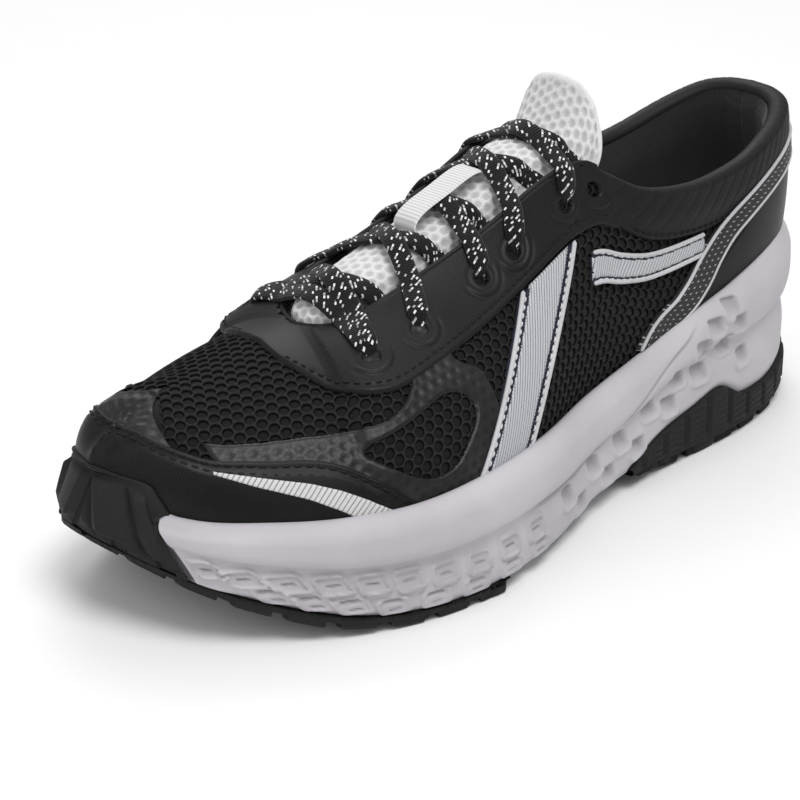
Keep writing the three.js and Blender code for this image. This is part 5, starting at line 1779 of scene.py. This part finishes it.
def bumper():
    """The toe bumper: ridged facets, a beaded lip and the rubber's edge below them."""
    wrap = np.linspace(BUMPER_SEAM + 0.005, 2 - BUMPER_SEAM - 0.005, 420)
    rnd, side = fold(wrap)
    out_s, out_y = outward(wrap)
    run = run_at(np.where(side < 0, wrap, 2 - wrap)) - run_at(1.0)
    low_share = along_at(lean_at(rnd, 0.0))
    floor = mix(tread_at(low_share) + lug_depth(low_share), under_at(low_share) - GAP, 0.1)
    lip = rim_at(along_at(lean_at(rnd, 1.0))) + lip_at(rnd)
    def leaned(up, depth, z):
        at = lean_at(rnd, up)
        s, y = inset(np.where(side < 0, at, 2 - at), depth)
        return place(s, y, z)
    rows = []
    rows.append(leaned(0.0, 6.0, floor))
    rows.append(leaned(0.0, 2.2, floor))
    for t in np.linspace(0, 1, 44):
        at = lean_at(rnd, t)
        share = along_at(at)
        z = mix(mix(under_at(low_share), under_at(share), 0.5), lip - 0.8, t)
        z = mix(floor + 0.8, z, smooth(t, 0, 0.12)) if t < 0.12 else z
        tilt = np.mod((run - 6.0 * t) / 17.0 + 0.3, 1.0)
        facet = (1.9 * np.where(tilt < 0.8, tilt / 0.8, (1 - tilt) / 0.2)
                 - 1.2 * np.exp(-((tilt - 0.06) / 0.06)**2))
        middle = smooth(t, 0.08, 0.16) * (1 - smooth(t, 0.84, 0.94))
        bead_out = 0.8 * np.exp(-((t - 0.985) / 0.035)**2)
        teeth = 0.9 * (np.mod(run / 12.0, 1.0) < 0.62) * (1 - smooth(t, 0.08, 0.12))
        depth = bumper_depth(at, z) - facet * middle - bead_out - teeth + 0.8 * smooth(t, 0.9, 1)
        rows.append(leaned(t, depth, z))
    onto = rise_at(wrap, lip)
    base, normal = upper_at(wrap, onto), upper_normal(wrap, onto)
    rows.append(base + normal * 2.2 + np.array([0, 0, -0.1]))
    rows.append(base + normal * 1.7 + np.array([0, 0, 0.2]))
    rows.append(base + normal * 0.9 + np.array([0, 0, 0.1]))
    rows.append(upper_at(wrap, onto - 0.02) + normal * -0.4)
    points = np.stack(rows, 1)
    faces = grid_faces(*points.shape[:2])
    normal = np.zeros(points.shape)
    normal[..., 0], normal[..., 1] = -out_s[:, None], out_y[:, None]
    middle = faces[(faces[:, 0] % points.shape[1] > 10) & (faces[:, 0] % points.shape[1] < 30)]
    faces = facing(faces, points, middle, normal)
    return make("toe_bumper", points, faces, RUBBER, "outsole_rubber", ["outsole_forefoot"])


def rubber_sheet(start, stop):
    """A sheet of rubber under the foam between two rounds, with a stepped edge."""
    rnd = np.linspace(start, stop, 360)
    across = np.concatenate([[0, 0, 0], np.linspace(0, 1, 40), [1, 1, 1]])
    left, right = inset(rnd, 1.3), inset(2 - rnd, 1.3)
    s = mix(left[0][:, None], right[0][:, None], across[None, :])
    y = mix(left[1][:, None], right[1][:, None], across[None, :])
    share = s / LENGTH
    from_edge = np.minimum(across, 1 - across)[None, :] * np.abs(right[1] - left[1])[:, None]
    block = 1 - smooth(np.abs(np.mod(run_at(rnd) / 15.5, 1.0) - 0.5), 0.33, 0.37)
    thin = mix(mix(0.85, 0.1, block)[:, None], 1.0, smooth(from_edge, 2.5, 5.5))
    high = under_at(share) + 0.1
    low = tread_at(share) + lug_depth(share) * thin
    for end in (start, stop):
        if 0 < end < 0.99:
            low = mix(high, low, smooth(np.abs(rnd - end), 0, 0.014)[:, None])
    z = low.copy()
    z[:, 0], z[:, -1] = high[:, 0], high[:, -1]
    z[:, 1], z[:, -2] = mix(low, high, 0.5)[:, 0], mix(low, high, 0.5)[:, -1]
    points = place(s, y, z)
    top = points[:, ::-1].copy()
    top[..., 2] = high[:, ::-1] - 0.2
    ring = np.concatenate([points, top], 1)
    faces = grid_faces(*ring.shape[:2], closed=True)
    down = np.zeros(points.shape)
    down[..., 2] = -1
    faces = facing(faces, points, grid_faces(*points.shape[:2]), down)
    return ring.reshape(-1, 3), faces, {"along": np.zeros(ring.shape[0] * ring.shape[1])}


def lug_part(start, end, near, far, lean):
    """One lug: a rounded block from the rubber sheet down to the tread."""
    turn = np.linspace(0, 2 * np.pi, 28, endpoint=False)
    c, s_ = np.cos(turn), np.sin(turn)
    a, b = np.sign(c) * np.abs(c)**0.35, np.sign(s_) * np.abs(s_)**0.35
    rows = []
    for shrink, depth in ((1.0, -0.3), (1.0, 0.15), (0.995, 0.5), (0.985, 0.85), (0.96, 0.985),
                          (0.92, 1.0), (0.3, 1.0), (0.02, 1.0)):
        along = (start + end) / 2 + (end - start) / 2 * a * shrink
        across = (near + far) / 2 + (far - near) / 2 * b * shrink
        rnd = round_at(np.clip(along, 0.001, 0.999))
        left, right = inset(rnd, 0.6), inset(2 - rnd, 0.6)
        y = mix(left[1], right[1], across)
        share = along + lean * np.abs(across - 0.5)
        sheet = tread_at(share) + lug_depth(share)
        z = mix(sheet, tread_at(share), depth)
        rows.append(place(share * LENGTH, y, z))
    points = np.stack(rows, 0)
    faces = grid_faces(8, 28, closed=True)
    return points.reshape(-1, 3), faces, {"along": np.zeros(8 * 28)}


LUG_BANDS = ((0, 0.17), (0.23, 0.42), (0.47, 0.53), (0.58, 0.77), (0.83, 1))


def tread(name, start, end, sheet, rows, lean, replaces=()):
    """Rubber under the foam with rows of lugs, as shares of LENGTH."""
    pitch = (end - start) / rows
    parts = [rubber_sheet(*sheet)]
    for k in range(rows):
        for n, (near, far) in enumerate(LUG_BANDS):
            first = start + k * pitch + (0.5 * pitch if n % 2 else 0)
            if first + 0.62 * pitch <= end:
                parts.append(lug_part(first, first + 0.62 * pitch, near, far, lean))
    points, faces, _ = merge(parts)
    return make(name, points, faces, RUBBER, "outsole_rubber", replaces)


def heel_flange():
    """The heel rubber's climb up the foam's side, in stepped and ribbed blocks."""
    end = HEEL_RUBBER_END - 0.002
    wrap = np.linspace(-end, end, 520)
    rnd = np.abs(wrap)
    share = along_at(rnd)
    run = run_at(rnd)
    block_run = np.mod(run / 12.0, 1.0)
    notch = smooth(np.abs(block_run - 0.5), 0.36, 0.44)
    low = tread_at(share) + lug_depth(share)
    top = under_at(share) + heel_climb(rnd) + 0.1
    rows = []
    def ring(depth, z):
        s, y = inset(wrap, depth)
        return place(s, y, z)
    rows.append(ring(5.0, low))
    rows.append(ring(1.4, low))
    for t in np.linspace(0, 1, 26):
        z = mix(low + 0.5, top - 0.4, t)
        rib = 0.35 * (np.mod((z - low) / 2.3, 1.0) < 0.55) * (1 - notch) * (top - low > 6)
        depth = 0.35 + 0.9 * notch * smooth(t, 0.05, 0.2) - rib
        rows.append(ring(depth, z))
    rows.append(ring(0.9, top))
    rows.append(ring(3.6, top))
    points = np.stack(rows, 1)
    faces = grid_faces(*points.shape[:2])
    out_s, out_y = outward(wrap)
    normal = np.zeros(points.shape)
    normal[..., 0], normal[..., 1] = -out_s[:, None], out_y[:, None]
    middle = faces[(faces[:, 0] % points.shape[1] > 5) & (faces[:, 0] % points.shape[1] < 22)]
    faces = facing(faces, points, middle, normal)
    return make("heel_flange", points, faces, RUBBER, "outsole_rubber")


def insole():
    rnd = np.linspace(0, 1, 150)
    depth = RIM_INSET + WALL + 3 * GAP
    left, right = inset(rnd, depth), inset(2 - rnd, depth)
    t = np.linspace(0, 1, 50)
    s = mix(left[0][:, None], right[0][:, None], t[None, :])
    y = mix(left[1][:, None], right[1][:, None], t[None, :])
    wide = np.abs(right[1] - left[1])[:, None]
    gap = np.minimum(t, 1 - t)[None, :] * wide
    lift = GAP + 3.5 * edge_round(gap, 2.0) + 2.2 * (1 - smooth(gap, 0, 16)) * smooth(
        0.5 - s / LENGTH, -0.2, 0.2)
    points = place(s, y, bed_at(s / LENGTH) + lift)
    faces = grid_faces(*points.shape[:2])
    up = np.zeros(points.shape)
    up[..., 2] = 1
    faces = facing(faces, points, faces, up)
    return make("insole_cloth", points, faces, INSOLE_CLOTH, "lining", ["insole"])


# ---- Light, floor and camera

AZIMUTH, ELEVATION, ROLL = math.radians(-42.33), math.radians(23.81), math.radians(-0.49)
DISTANCE, TARGET, LENS = 653.51, (-29.84, 8.48, 35.38), 91.8


def camera():
    back = Vector((math.sin(AZIMUTH) * math.cos(ELEVATION),
                   -math.cos(AZIMUTH) * math.cos(ELEVATION), math.sin(ELEVATION)))
    right = Vector((0, 0, 1)).cross(back).normalized()
    up = back.cross(right)
    turned = Matrix.Rotation(ROLL, 3, back)
    right, up = turned @ right, turned @ up
    spot = (Vector(TARGET) + back * DISTANCE) * MM
    data = bpy.data.cameras.new("photo_camera")
    data.sensor_width, data.lens = 36.0, LENS
    data.clip_start = 0.01
    obj = bpy.data.objects.new("photo_camera", data)
    obj.matrix_world = Matrix((
        (right.x, up.x, back.x, spot.x), (right.y, up.y, back.y, spot.y),
        (right.z, up.z, back.z, spot.z), (0, 0, 0, 1)))
    bpy.context.collection.objects.link(obj)
    bpy.context.scene.camera = obj


def area_light(name, place_m, size, watts):
    data = bpy.data.lights.new(name, "AREA")
    data.size, data.energy = size, watts
    data.shape = "DISK"
    obj = bpy.data.objects.new(name, data)
    obj.location = place_m
    aim = Vector((0, 0, 0.04)) - Vector(place_m)
    obj.rotation_euler = aim.to_track_quat("-Z", "Y").to_euler()
    bpy.context.collection.objects.link(obj)


def studio():
    size = 4.0
    mesh = bpy.data.meshes.new("floor")
    mesh.from_pydata([(-size, -size, 0), (size, -size, 0), (size, size, 0), (-size, size, 0)],
                     [], [(0, 1, 2, 3)])
    tree = Tree("floor_paper", 0.9, 0.1)
    tree.colour(tree.blend(tree.noise(0.02, 2.0), grey(0.86), grey(0.88)))
    mesh.materials.append(tree.material)
    floor = bpy.data.objects.new("floor", mesh)
    floor.location.z = cad_box[0][2] - 0.0002
    bpy.context.collection.objects.link(floor)
    world = bpy.data.worlds.new("studio")
    world.use_nodes = True
    sky = world.node_tree.nodes["Background"].inputs
    sky["Color"].default_value = (1, 1, 1, 1)
    sky["Strength"].default_value = 0.5
    bpy.context.scene.world = world
    area_light("key", (-0.15, -0.6, 1.5), 0.9, 15)
    area_light("fill", (-1.3, 0.1, 0.9), 1.2, 4)
    area_light("back", (0.6, 0.9, 1.2), 1.0, 7)
    bpy.context.scene.view_settings.view_transform = "Standard"


shell()
toe_cap()
film()
eyestay()
throat_binding()
saddles()
quarter_bands()
heel_counter()
heel_strap()
toe_stripes()
collar()
upper_stitches()
net()
tongue()
lace()
keeper()
midsole()
bumper()
tread("forefoot_tread", 0.685, 0.965, (FOREFOOT_START, 0.995), 6, -0.05)
tread("heel_tread", 0.05, 0.37, (0.0, HEEL_RUBBER_END), 4, 0.05, ["outsole_heel"])
heel_flange()
insole()
studio()
camera()
